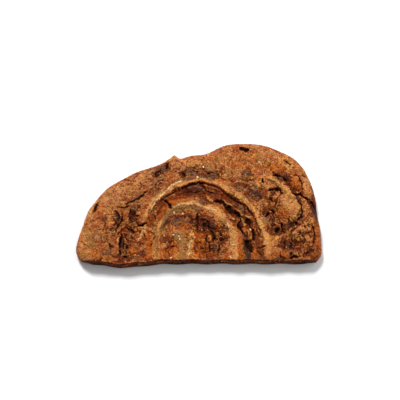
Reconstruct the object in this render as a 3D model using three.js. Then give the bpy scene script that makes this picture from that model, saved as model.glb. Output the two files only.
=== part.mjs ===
// Half of a round sesame flatbread: a rope of laminated dough, coiled, pressed flat, baked until brown and
// cut through just in front of the coil's centre. Millimetres, +Z up. The origin is on the underside below
// the centre of the coil, +X runs along the cut and +Y from the cut towards the round crust.
import * as THREE from "three";

// Driving sizes of the loaf
const DISC_RADIUS = 141.5; // from the middle of the cut to the round crust
const CUT_BACK = 19; // the cut passes this far in front of the coil's centre
const PIVOT_X = -2; // the middle of the cut, left of the coil's centre
const THICKNESS = 17.5; // at the coil, without its ridges
const RIM_HEIGHT = 7; // the crust is widest this far above the underside
const SHOULDER = 14; // width of the rounded shoulder inside the round crust
const UNDERCUT = 6; // the underside is drawn in this far below the round crust
const CUT_FLARE = 1.4; // the foot of the cut face stands out by this much

// Where the round crust stands out from a true circle or falls short of it: the angle about the middle of
// the cut, the angle over which it fades, and the reach in millimetres
const BULGES = [
  { name: "end of the last turn", at: 47, spread: 24, reach: 25.5 },
  { name: "swelling behind the last turn", at: 70, spread: 12, reach: 3 },
  { name: "flattened side", at: 108, spread: 28, reach: -17 },
  { name: "dent beside the last turn", at: 86, spread: 7, reach: -4 },
  { name: "lifted flake", at: 104.5, spread: 3.5, reach: 3.5 },
  { name: "tip of the lifted flake", at: 102.5, spread: 1.6, reach: 4 },
];
const RIM_WAVES = [
  { count: 10, reach: 0.5, phase: 40 },
  { count: 23, reach: 0.5, phase: 115 },
];
// Each corner of the cut is rounded off by this many millimetres, eased in over these degrees
const CORNER = { cutOff: 7, spread: 5.5 };
const CUT_BOW = { at: -88, spread: 30, reach: 4.5 }; // the cut swings out to the front here
const CUT_WAVE = { length: 34, reach: 0.5 };

// Ridges and seams of the coil. Each follows its knots, pairs of angle and radius about a centre, and is
// high (or, below zero, deep) by height, with its own width on the inner and on the outer side.
const COIL = [0, 0];
const EAR = [86, 44];
const COIL_LINES = [
  {
    name: "outer ridge",
    centre: COIL,
    knots: [[-16, 76], [4, 73], [40, 69], [59, 68], [73, 72], [92, 74.5], [107, 71], [133, 71], [160, 68]],
    height: 2.2, inner: 3, outer: 8,
  },
  {
    name: "inner ridge",
    centre: COIL,
    knots: [[-30, 44], [0, 39], [50, 39], [75, 42], [105, 49], [125, 51], [150, 50], [205, 53]],
    height: 1.7, inner: 6, outer: 4,
  },
  {
    name: "seam under the outer ridge",
    centre: COIL,
    knots: [[4, 70], [26, 69], [40, 66], [59, 65], [73, 69.5], [92, 71.5], [107, 68], [133, 68], [151, 66]],
    height: -1.8, inner: 3.5, outer: 2,
  },
  {
    name: "deep split",
    centre: COIL,
    knots: [[0, 62], [21, 60], [33, 56.5], [60, 54.5], [76, 54]],
    height: -5.5, inner: 4, outer: 7,
  },
  {
    name: "lower end of the deep split",
    centre: COIL,
    knots: [[-24, 61], [-8, 57.5], [6, 53.5], [22, 53]],
    height: -3.5, inner: 4, outer: 4,
  },
  {
    name: "third seam on the left",
    centre: COIL,
    knots: [[128, 87], [147, 92.5], [160, 98], [178, 92], [202, 97]],
    height: -1.5, inner: 3, outer: 3,
  },
  {
    name: "third seam on the right",
    centre: COIL,
    knots: [[2, 99], [15, 95.5], [26, 93], [40, 95]],
    height: -2.2, inner: 3, outer: 2.5,
  },
  {
    name: "third seam at the top",
    centre: COIL,
    knots: [[58, 84], [85, 86], [108, 87]],
    height: -1.4, inner: 3, outer: 6,
  },
  {
    name: "ear of the last turn",
    centre: EAR,
    knots: [[-24, 29], [-8, 28], [25, 24.5], [55, 24.5], [74, 27], [92, 31], [108, 36]],
    height: 2.4, inner: 5, outer: 3,
  },
  {
    name: "crease outside the ear",
    centre: EAR,
    knots: [[4, 40], [24, 36], [46, 31], [62, 34], [80, 38]],
    height: -2.4, inner: 2.5, outer: 3.5,
  },
];

// Domes and hollows: centre, half length, half width, turn in degrees, height
const DOMES = [
  { name: "blister inside the ear", x: 101, y: 42, long: 17, wide: 12, turn: 110, height: 4 },
  { name: "hollow beside the blister", x: 88, y: 60, long: 6, wide: 5, turn: 0, height: -4 },
  { name: "hole near the round crust", x: 53, y: 114, long: 6, wide: 3.2, turn: -35, height: -5.5 },
  { name: "dome at the coil's end", x: -20, y: 8, long: 13, wide: 11, turn: 60, height: 1.6 },
  { name: "sunk middle", x: 12, y: 20, long: 16, wide: 13, turn: 120, height: -1.8 },
  { name: "burnt hollow", x: 89, y: 15, long: 7, wide: 4, turn: 20, height: -2.5 },
  { name: "crease below the blister", x: 108, y: 22, long: 9, wide: 4, turn: 20, height: -2.5 },
  { name: "swelling on the left", x: -116, y: 10, long: 26, wide: 16, turn: 100, height: 1.2 },
  { name: "lump of the third turn", x: -78, y: 27, long: 9, wide: 7, turn: 0, height: 1.8 },
  { name: "swelling at the top right", x: 78, y: 100, long: 30, wide: 12, turn: -40, height: 1.5 },
  { name: "swelling at the top left", x: -70, y: 72, long: 26, wide: 10, turn: 35, height: 1.2 },
  { name: "sunk corner", x: 104, y: -4, long: 14, wide: 9, turn: 10, height: -1.8 },
  { name: "radial crack", x: -36.5, y: 47, long: 6, wide: 2.5, turn: -58, height: -3 },
];
const SWELLS = [
  { name: "long swell", lengthX: 97, lengthY: 140, phase: 20, height: 0.7 },
  { name: "short swell", lengthX: 38, lengthY: 31, phase: 130, height: 0.45 },
  { name: "ripple", lengthX: 17, lengthY: 23, phase: 250, height: 0.3 },
];

// Layers of the dough that show as low ledges across the cut face
const LEDGE = { reach: 0.5, length: 27, turnPerRow: 130 };

// Steps of the mesh: along the cut, from the cut to the round crust, and down the sides
const ACROSS = 80;
const DEEP = 44;
const ROWS = 5;
const ARC_SPLIT = 42; // degrees of round crust that bound the mesh on the left and on the right

const FADE = 7; // degrees over which the end of a ridge or seam runs out

const radians = THREE.MathUtils.degToRad;
const degrees = THREE.MathUtils.radToDeg;
const lerp = THREE.MathUtils.lerp;
const bell = (distance, spread) => Math.exp(-((distance / spread) ** 2));
const wave = (value) => Math.sin(radians(value));

// The angle of a direction in degrees, from -90 to 270, so that it runs on without a jump over the loaf
function heading(dx, dy) {
  const angle = degrees(Math.atan2(dy, dx));
  return angle < -90 ? angle + 360 : angle;
}

function outlineRadius(angle) {
  let radius = DISC_RADIUS;
  for (const bulge of BULGES) radius += bulge.reach * bell(angle - bulge.at, bulge.spread);
  for (const ripple of RIM_WAVES) radius += ripple.reach * wave(ripple.count * angle + ripple.phase);
  const toCorner = Math.min(Math.abs(angle), Math.abs(angle - 180));
  return radius - CORNER.cutOff * Math.max(0, 1 - toCorner / CORNER.spread) ** 2;
}

function crustPoint(angle) {
  const radius = outlineRadius(angle);
  return [PIVOT_X + radius * Math.cos(radians(angle)), -CUT_BACK + radius * Math.sin(radians(angle))];
}

function cutPoint(share) {
  const [left] = crustPoint(180);
  const [right] = crustPoint(0);
  const x = lerp(left, right, share);
  const inside = 1 - (2 * share - 1) ** 8; // the bow and the wave die out at the two corners
  const bow = CUT_BOW.reach * bell(x - CUT_BOW.at, CUT_BOW.spread);
  return [x, -CUT_BACK - inside * (bow + CUT_WAVE.reach * wave((360 * x) / CUT_WAVE.length))];
}

// A point of the plan, from two shares from 0 to 1: along the cut, and from the cut to the round crust.
// It is a Coons patch between the cut and three stretches of the round crust.
function planPoint(along, away) {
  const front = cutPoint(along);
  const back = crustPoint(lerp(180 - ARC_SPLIT, ARC_SPLIT, along));
  const left = crustPoint(lerp(180, 180 - ARC_SPLIT, away));
  const right = crustPoint(lerp(0, ARC_SPLIT, away));
  const corners = [crustPoint(180), crustPoint(0), crustPoint(180 - ARC_SPLIT), crustPoint(ARC_SPLIT)];
  return [0, 1].map((axis) => {
    const ruled = lerp(front[axis], back[axis], away) + lerp(left[axis], right[axis], along);
    const low = lerp(corners[0][axis], corners[1][axis], along);
    const high = lerp(corners[2][axis], corners[3][axis], along);
    return ruled - lerp(low, high, away);
  });
}

// The radius of a ridge or seam at an angle, eased from knot to knot
function knotRadius(knots, angle) {
  const next = knots.findIndex(([at]) => at > angle);
  if (next === 0) return knots[0][1];
  if (next < 0) return knots[knots.length - 1][1];
  const [fromAngle, fromRadius] = knots[next - 1];
  const [toAngle, toRadius] = knots[next];
  const share = THREE.MathUtils.smoothstep(angle, fromAngle, toAngle);
  return lerp(fromRadius, toRadius, share);
}

function lineHeight(line, x, y) {
  const dx = x - line.centre[0];
  const dy = y - line.centre[1];
  const angle = heading(dx, dy);
  const first = line.knots[0][0];
  const last = line.knots[line.knots.length - 1][0];
  const fadeIn = THREE.MathUtils.smoothstep(angle, first, first + FADE);
  const fadeOut = 1 - THREE.MathUtils.smoothstep(angle, last - FADE, last);
  const offset = Math.hypot(dx, dy) - knotRadius(line.knots, angle);
  return line.height * fadeIn * fadeOut * bell(offset, offset < 0 ? line.inner : line.outer);
}

function domeHeight(dome, x, y) {
  const c = Math.cos(radians(dome.turn));
  const s = Math.sin(radians(dome.turn));
  const along = (x - dome.x) * c + (y - dome.y) * s;
  const across = (y - dome.y) * c - (x - dome.x) * s;
  return dome.height * bell(along, dome.long) * bell(across, dome.wide);
}

function swellHeight(swell, x, y) {
  return swell.height * wave((360 * x) / swell.lengthX + swell.phase) * wave((360 * y) / swell.lengthY);
}

function relief(x, y) {
  let height = 0;
  for (const line of COIL_LINES) height += lineHeight(line, x, y);
  for (const dome of DOMES) height += domeHeight(dome, x, y);
  for (const swell of SWELLS) height += swellHeight(swell, x, y);
  return height;
}

// How far a point lies inside the round crust
function insideCrust(x, y) {
  const dx = x - PIVOT_X;
  const dy = y + CUT_BACK;
  return outlineRadius(heading(dx, dy)) - Math.hypot(dx, dy);
}

function topHeight(x, y) {
  const share = THREE.MathUtils.clamp(insideCrust(x, y) / SHOULDER, 0, 1);
  const rise = Math.sqrt(1 - (1 - share) ** 2);
  return RIM_HEIGHT + (THICKNESS + relief(x, y) - RIM_HEIGHT) * rise;
}

function topGrid() {
  const grid = [];
  for (let j = 0; j <= DEEP; j++) {
    for (let i = 0; i <= ACROSS; i++) {
      const [x, y] = planPoint(i / ACROSS, j / DEEP);
      grid.push([x, y, topHeight(x, y)]);
    }
  }
  return grid;
}

// The indices of the top grid's border, counter-clockwise from the left corner of the cut
function borderLoop() {
  const at = (i, j) => j * (ACROSS + 1) + i;
  const loop = [];
  for (let i = 0; i < ACROSS; i++) loop.push(at(i, 0));
  for (let j = 0; j < DEEP; j++) loop.push(at(ACROSS, j));
  for (let i = ACROSS; i > 0; i--) loop.push(at(i, DEEP));
  for (let j = DEEP; j > 0; j--) loop.push(at(0, j));
  return loop;
}

// A point of the side wall below a border point. Under the round crust the wall curls in towards the middle
// of the cut. The cut face runs out a little at its foot, with low ledges where the layers of dough end.
function wallPoint([x, y, z], share, row) {
  const crust = 1 - THREE.MathUtils.clamp(insideCrust(x, y) / SHOULDER, 0, 1);
  const curl = radians(90 * share);
  const inset = crust * UNDERCUT * (1 - Math.cos(curl));
  const ledge = share < 1 ? LEDGE.reach * wave((360 * x) / LEDGE.length + row * LEDGE.turnPerRow) : 0;
  const drift = (1 - crust) * (ledge - CUT_FLARE * share);
  const angle = radians(heading(x - PIVOT_X, y + CUT_BACK));
  const height = z * lerp(1 - share, 1 - Math.sin(curl), crust);
  return [x - inset * Math.cos(angle), y - inset * Math.sin(angle) + drift, height];
}

function flatbreadGeometry() {
  const points = topGrid();
  const triangles = [];
  // Each quad is split along the diagonal that climbs less, so that edges run along the ridges and seams
  const quad = (a, b, c, d) => {
    const climb = (from, to) => Math.abs(points[from][2] - points[to][2]);
    if (climb(a, c) <= climb(b, d)) triangles.push(a, b, c, a, c, d);
    else triangles.push(a, b, d, b, c, d);
  };
  for (let j = 0; j < DEEP; j++) {
    for (let i = 0; i < ACROSS; i++) {
      const a = j * (ACROSS + 1) + i;
      quad(a, a + 1, a + ACROSS + 2, a + ACROSS + 1);
    }
  }
  const loop = borderLoop();
  const border = loop.map((index) => points[index]);
  let upper = loop;
  for (let row = 1; row <= ROWS; row++) {
    const lower = border.map((point) => {
      points.push(wallPoint(point, row / ROWS, row));
      return points.length - 1;
    });
    lower.forEach((index, k) => {
      const next = (k + 1) % lower.length;
      quad(index, lower[next], upper[next], upper[k]);
    });
    upper = lower;
  }
  const middle = points.push([PIVOT_X, DISC_RADIUS / 3, 0]) - 1;
  upper.forEach((index, k) => triangles.push(middle, upper[(k + 1) % upper.length], index));

  const geometry = new THREE.BufferGeometry();
  geometry.setAttribute("position", new THREE.Float32BufferAttribute(points.flat(), 3));
  geometry.setIndex(triangles);
  geometry.computeVertexNormals();
  return geometry;
}

function crustMaterial() {
  return new THREE.MeshStandardMaterial({ color: 0x9a5c30, roughness: 0.62, metalness: 0 });
}

const flatbread = new THREE.Mesh(flatbreadGeometry(), crustMaterial());
flatbread.name = "flatbread_half";

const model = new THREE.Group();
model.add(flatbread);

export default model;
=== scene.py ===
"""Half of a round sesame flatbread: a rope of laminated dough, coiled, pressed flat, baked until brown and
cut through just in front of the coil's centre. Shapes are worked out in millimetres and made into meshes in
metres. The origin is on the underside below the centre of the coil, +X runs along the cut, +Y from the cut
towards the round crust and +Z up."""

import collections
import itertools
import math

import bpy
import numpy as np
from mathutils import Matrix, Vector


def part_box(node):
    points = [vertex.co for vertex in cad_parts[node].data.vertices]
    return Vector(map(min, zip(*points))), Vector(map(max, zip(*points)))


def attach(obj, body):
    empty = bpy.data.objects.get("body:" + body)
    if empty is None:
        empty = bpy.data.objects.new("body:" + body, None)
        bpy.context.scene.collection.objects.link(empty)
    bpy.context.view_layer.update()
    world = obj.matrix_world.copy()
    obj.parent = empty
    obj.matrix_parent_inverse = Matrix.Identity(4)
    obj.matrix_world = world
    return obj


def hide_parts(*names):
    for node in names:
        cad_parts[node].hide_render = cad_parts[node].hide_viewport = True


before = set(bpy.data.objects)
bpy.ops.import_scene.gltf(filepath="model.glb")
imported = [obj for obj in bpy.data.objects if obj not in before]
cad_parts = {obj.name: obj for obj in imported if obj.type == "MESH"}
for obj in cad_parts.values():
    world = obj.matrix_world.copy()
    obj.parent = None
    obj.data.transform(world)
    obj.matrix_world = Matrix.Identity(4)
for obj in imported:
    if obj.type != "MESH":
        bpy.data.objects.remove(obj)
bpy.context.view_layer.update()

NODE = "flatbread_half"
BODY = "root"
MM = 0.001
SEED = 7

# Driving sizes of the loaf, as in the part
DISC_RADIUS = 141.5  # from the middle of the cut to the round crust
CUT_BACK = 19.0  # the cut passes this far in front of the coil's centre
PIVOT_X = -2.0  # the middle of the cut, left of the coil's centre
THICKNESS = 17.5  # at the coil, without its ridges
RIM_HEIGHT = 7.0  # the crust is widest this far above the underside
SHOULDER = 14.0  # width of the rounded shoulder inside the round crust
UNDERCUT = 6.0  # the underside is drawn in this far below the round crust
CUT_FLARE = 1.4  # the foot of the cut face stands out by this much
CORNER_OFF, CORNER_SPREAD = 7.0, 5.5  # both corners are cut back by this, eased in over these degrees
BOW_AT, BOW_SPREAD, BOW_REACH = -88.0, 30.0, 4.5  # the cut swings out to the front here
WAVE_LENGTH, WAVE_REACH = 34.0, 0.5  # along the cut
CORNER_POWER = 8  # the waves of the cut die out towards its corners: the higher, the nearer to them
ARC_SPLIT = 42.0  # degrees of round crust that bound the mesh on the left and on the right
FADE = 7.0  # degrees over which the end of a ridge or seam runs out

# Where the round crust stands out or falls short: angle about the middle of the cut, fade, reach
BULGES = [(47, 24, 25.5), (70, 12, 3), (108, 28, -17), (86, 7, -4), (104.5, 3.5, 3.5), (102.5, 1.6, 4)]
RIM_WAVES = [(10, 0.5, 40), (23, 0.5, 115)]  # count round the circle, reach, phase

# Ridges and valleys of the coil: centre, knots of angle and radius, height, inner and outer width, and how
# much pale dough, or dark filling with painted shade in the seams, shows along them, over which width and how
# far outside their middle
COIL = (0.0, 0.0)
EAR = (86.0, 44.0)
Line = collections.namedtuple(
    "Line", "centre knots height inner outer pale stain width shift", defaults=(0, 0, 3, 0))
COIL_LINES = {
    "outer ridge": Line(
        COIL, [(-16, 76), (4, 73), (26, 71.5), (40, 69), (59, 68), (73, 72), (92, 74.5), (107, 71),
               (123, 70.5), (133, 71), (151, 69), (160, 68)], 2.1, 2.2, 8, pale=0.72, width=3.6, shift=2.8),
    "dough band on the right": Line(
        COIL, [(-16, 79), (6, 76), (28, 74), (44, 73.5), (66, 75)], 0.5, 4, 6, pale=0.72, width=4.6),
    "inner ridge": Line(
        COIL, [(-30, 44), (0, 39), (50, 39), (75, 42), (105, 49), (125, 51), (150, 50), (205, 53)], 1.7, 6, 4,
        pale=0.8, width=4),
    "seam under the outer ridge": Line(
        COIL, [(4, 70), (26, 69), (40, 66.5), (59, 65.5), (73, 70), (92, 72), (107, 68.5), (123, 68),
               (133, 68.6), (151, 66)], -0.9, 2.2, 1.2, stain=0.3, width=1.3, shift=-0.4),
    "valley of the deep split": Line(
        COIL, [(-20, 60), (0, 56), (21, 58), (33, 56), (60, 55), (76, 54)], -2.2, 5, 8),
    "third seam on the left": Line(
        COIL, [(128, 87), (147, 92.5), (160, 98), (178, 92), (202, 97)], -1.4, 3, 3, stain=0.15, width=2.2),
    "third seam on the right": Line(
        COIL, [(2, 99), (15, 95.5), (26, 93), (40, 95)], -2.2, 3, 2.4, stain=0.35, width=2),
    "third seam at the top": Line(COIL, [(58, 84), (85, 86), (108, 87)], -1.4, 3, 6, stain=0.2),
    "ear of the last turn": Line(
        EAR, [(-24, 29), (-8, 28), (25, 24.5), (55, 24.5), (74, 27), (92, 31), (108, 36)], 2.4, 5, 2.6,
        pale=0.95, width=2.8),
    "crease outside the ear": Line(
        EAR, [(4, 40), (24, 36), (46, 31), (62, 34), (80, 38)], -2.2, 2.2, 3.2, stain=0.4, width=1.4),
}
LINE_SHOWN, LINE_BROKEN = 0.75, 0.4  # how much of a line's dough or filling shows everywhere, and in patches

# Domes and hollows: x, y, half length, half width, turn in degrees, height
DOMES = [
    (101, 42, 17, 12, 110, 4), (88, 60, 6, 5, 0, -3), (53, 114, 6, 3, -35, -2), (-20, 8, 13, 11, 60, 1.6),
    (12, 20, 16, 13, 120, -1.8), (89, 15, 7, 4, 20, -2.5), (108, 22, 9, 4, 20, -2.5),
    (-116, 10, 26, 16, 100, 1.2), (78, 100, 30, 12, -40, 1.5), (-78, 27, 9, 7, 0, 1.8),
    (-75, 39, 6, 5, 60, 1.2), (-54, 30, 5, 9, 30, 1.4), (-70, 72, 26, 10, 35, 1.2),
    (104, -4, 14, 9, 10, -1.8),
]
SWELLS = [(97, 140, 20, 0.7), (38, 31, 130, 0.45), (17, 23, 250, 0.3)]  # length in x and y, phase, height

# Splits, cracks and lips of torn leaves: half width and the few points that each runs through
SPLITS = [
    (1.7, (17, 50), (22, 50.5), (26, 50), (30, 45)), (4.6, (30, 44), (34, 40), (38, 38), (41, 36)),
    (2.4, (40, 37), (44, 35), (47, 32)), (1.3, (47, 31), (46, 27), (44, 22), (46, 17), (50, 11)),
    (3.4, (53, 29), (56, 26), (58, 23)), (1.7, (57, 22), (60.5, 16), (61.5, 9), (62, 2)),
    (3.2, (53, 5), (55, 0), (57, -5), (59, -10)), (1.7, (-41, 52), (-38, 49), (-35, 45), (-34, 41)),
    (2.4, (47.5, 117), (51, 114), (57, 112)), (2, (86, 14), (89, 16), (91.5, 19)),
    (1.2, (-61, 25), (-66, 21), (-72, 20)), (1.2, (80, 63), (86, 66), (92, 64.5), (95.5, 58)),
    (1.1, (106, 60), (110, 58), (117, 58.5), (121, 55), (126, 51)), (1.5, (117, 62), (117.5, 57)),
    (1.6, (127, 50), (131, 47), (134, 41), (136, 32)), (1.4, (82.5, 40.5), (85, 37)),
    (1.5, (109, 24), (112, 24.5)), (1.2, (93, 24), (95, 18), (97.5, 13)),
    (1.3, (79, 37), (77.5, 33), (76, 31)), (1.3, (-91, 13), (-90, 8), (-92, 0), (-91, -4)),
    (1.1, (-92, -7), (-91, -13)), (1.2, (-88, -14), (-84, -17)), (1.8, (-119, 48), (-121, 43), (-122, 38)),
    (1.1, (73.5, 78), (73, 72)), (1.4, (-20, 85), (-18, 80)), (0.9, (85, 80.5), (94, 81)),
    (1.1, (97, 79), (101, 75)), (1.1, (-39, 97), (-37.5, 93), (-40, 89)), (1.1, (82, 56), (84, 50)),
    (1.5, (102, -17), (107, -15.5), (112, -16)), (1.4, (103, -10), (105, -12)),
]
CRACKS = [
    # The first cracks draw the crevice inside the outer ridge: dark filling with painted shade under the
    # ridge.
    (0.6, (-49, 47), (-44, 52), (-37, 57), (-29, 61), (-22, 65)),
    (1, (-22, 65), (-12, 70), (-2, 72), (6, 71)), (0.7, (6, 71), (14, 70), (21, 67), (28, 61), (34, 56)),
    (0.9, (34, 56), (43, 50), (52, 45), (57, 39), (61, 34)), (1.1, (4, 68), (8, 63), (16, 60)),
    (0.8, (-14, 62), (-4, 61), (3, 64)),
    (1.1, (-1.5, 37), (-3, 33), (-3.5, 29), (-2, 25), (-3.5, 20), (-3, 15)), (1.9, (-4.5, 31.5), (-2.5, 30)),
    (2.4, (3.5, 24), (5.5, 22), (6, 20.5)), (1.8, (8, 27.5), (9.5, 25), (10, 22)),
    (1.2, (10, 22), (9, 19.5), (13, 18.5), (20, 17.5)), (1, (4.5, 18), (5.5, 14.5)),
    (0.9, (-0.5, 28), (3, 29), (7, 28)), (0.6, (-4, 13.5), (2, 12.5), (9, 13.5)),
    (1.4, (10, 17), (13.5, 13.5), (16, 10), (16.5, 6), (14, 1.5)), (1.3, (21, 15), (23.5, 11.5), (25, 8)),
    (1.5, (22, 6.5), (24.5, 4.5), (28.5, 5.5)), (0.9, (8.5, 10), (7, 6), (8.5, 2), (11.5, 1)),
    (1.3, (10, -1), (11.5, -6), (11, -10)), (1, (21.5, -1), (23, -6), (20.5, -10)),
    (1.6, (4, -5.5), (2, -7.5)), (0.8, (-5, 0.5), (-1, 1.5), (2, 0)), (0.8, (7, -13), (8, -17)),
    (0.9, (100, 29), (103, 24)), (1.2, (112, 27), (115, 30), (118, 31.5)),
    (1.1, (96, 3), (97.5, -2), (96, -6)), (1, (102, 3), (105, 0), (104, -5)),
    (0.8, (71, -16), (69, -12), (65, -9)), (0.9, (92, -10), (91.5, -16)),
    (0.9, (113, 11), (117.5, 8), (120, 5), (119, 0)), (0.9, (87, 43), (88, 50), (92, 57)),
    (1, (112, 52), (116.5, 44), (118, 37), (115, 29)), (0.9, (103, 9), (106, 16), (112, 19)),
    (1, (64.5, 18), (66, 13), (68, 8)), (1.1, (65, -5), (75, -4)), (0.9, (99, 100), (106, 94)),
    (0.9, (111, 83), (116, 79), (118, 72), (119, 65)), (0.8, (109, 2), (110, -4)),
    (0.9, (-99, 39), (-95, 35), (-93, 31), (-95, 28)), (0.8, (-96, 44), (-88, 42), (-80, 44)),
    (0.8, (-89, 38), (-90, 30), (-89, 24)), (0.7, (-101, 30), (-97, 26), (-100, 20)),
    (0.9, (-89, 31), (-91, 25), (-95, 20), (-97, 14)), (0.8, (-98, 19), (-104, 15)),
    (0.8, (-80, 41), (-79.5, 34), (-75, 31), (-71, 33)), (0.9, (-84, 18), (-79, 16), (-75, 12)),
    (0.8, (-87, 12), (-85, 6), (-81, 3)), (0.9, (-86, 0), (-84, -2), (-84, -7)),
    (1, (-104, 0), (-103, -3), (-99, -5)), (0.7, (-93, 25), (-97, 24), (-98, 20)),
    (0.7, (-74, 27), (-71, 22), (-72, 14)), (0.7, (-81, -8), (-78, -13), (-72, -12)),
    (0.8, (-88, 8), (-87, 0), (-89, -7)), (1, (-61, 63), (-66, 58), (-72, 53), (-80, 50), (-86, 46)),
    (0.9, (-56, 35), (-52, 33), (-50, 27)), (1, (130, 20), (131, 8), (130, 0)),
    (0.9, (120, -12), (126, -9), (130, -9)), (0.8, (136, -2), (134, -7)),
    (0.9, (-45, 88), (-52, 84), (-50, 78)),
]
LIPS = [
    (1.2, (26, 52), (30, 48.5), (34, 46), (38, 45)), (1.3, (39, 43), (43, 39), (47, 35.5), (51, 33)),
    (1.1, (51, 33), (56, 31.5), (61, 29)), (1.2, (32, 36), (37, 29.5), (43, 28)),
    (1.1, (47, 24), (49, 20.5), (52, 22), (51, 25)), (1.3, (53, 16), (57, 13), (56, 8)),
    (1, (1, 26), (1.5, 22)), (0.9, (4, 26.5), (7, 26)), (1, (2.5, 19), (3.5, 15)),
    (1.1, (12.5, 10), (13, 6), (11.5, 2)), (1.2, (18.5, 12), (20, 6), (19, 2)),
    (1.1, (-0.5, 27), (0.5, 23), (-0.5, 16)), (0.9, (94, 22), (92, 20), (94, 17)),
    (1.3, (3, 70), (7, 65), (11, 62.5), (16, 62)),
    (1.6, (76, 78), (85, 75), (93, 70), (99, 64), (107, 54), (114, 42)),
    (1.2, (88, 42), (88.5, 48), (92, 54), (98, 57)), (1.3, (103, 58), (107, 55), (109, 51)),
    (2.2, (-131, 31), (-126, 40), (-121, 50), (-118, 56)), (1.3, (-69, 4), (-66, 12), (-63, 18)),
    (1.1, (-10, 8), (-11, 1), (-12, -8), (-14, -17)), (1.1, (106, 5), (112, 9), (118, 5)),
    (1.4, (-46, 101), (-38, 105), (-33, 108)), (1.1, (-96, 27), (-94, 23)),
    (1, (-31, 3), (-27, 1), (-28, -4)),
]

# Here and in the lists below, strengths and changes are in percent.

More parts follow.
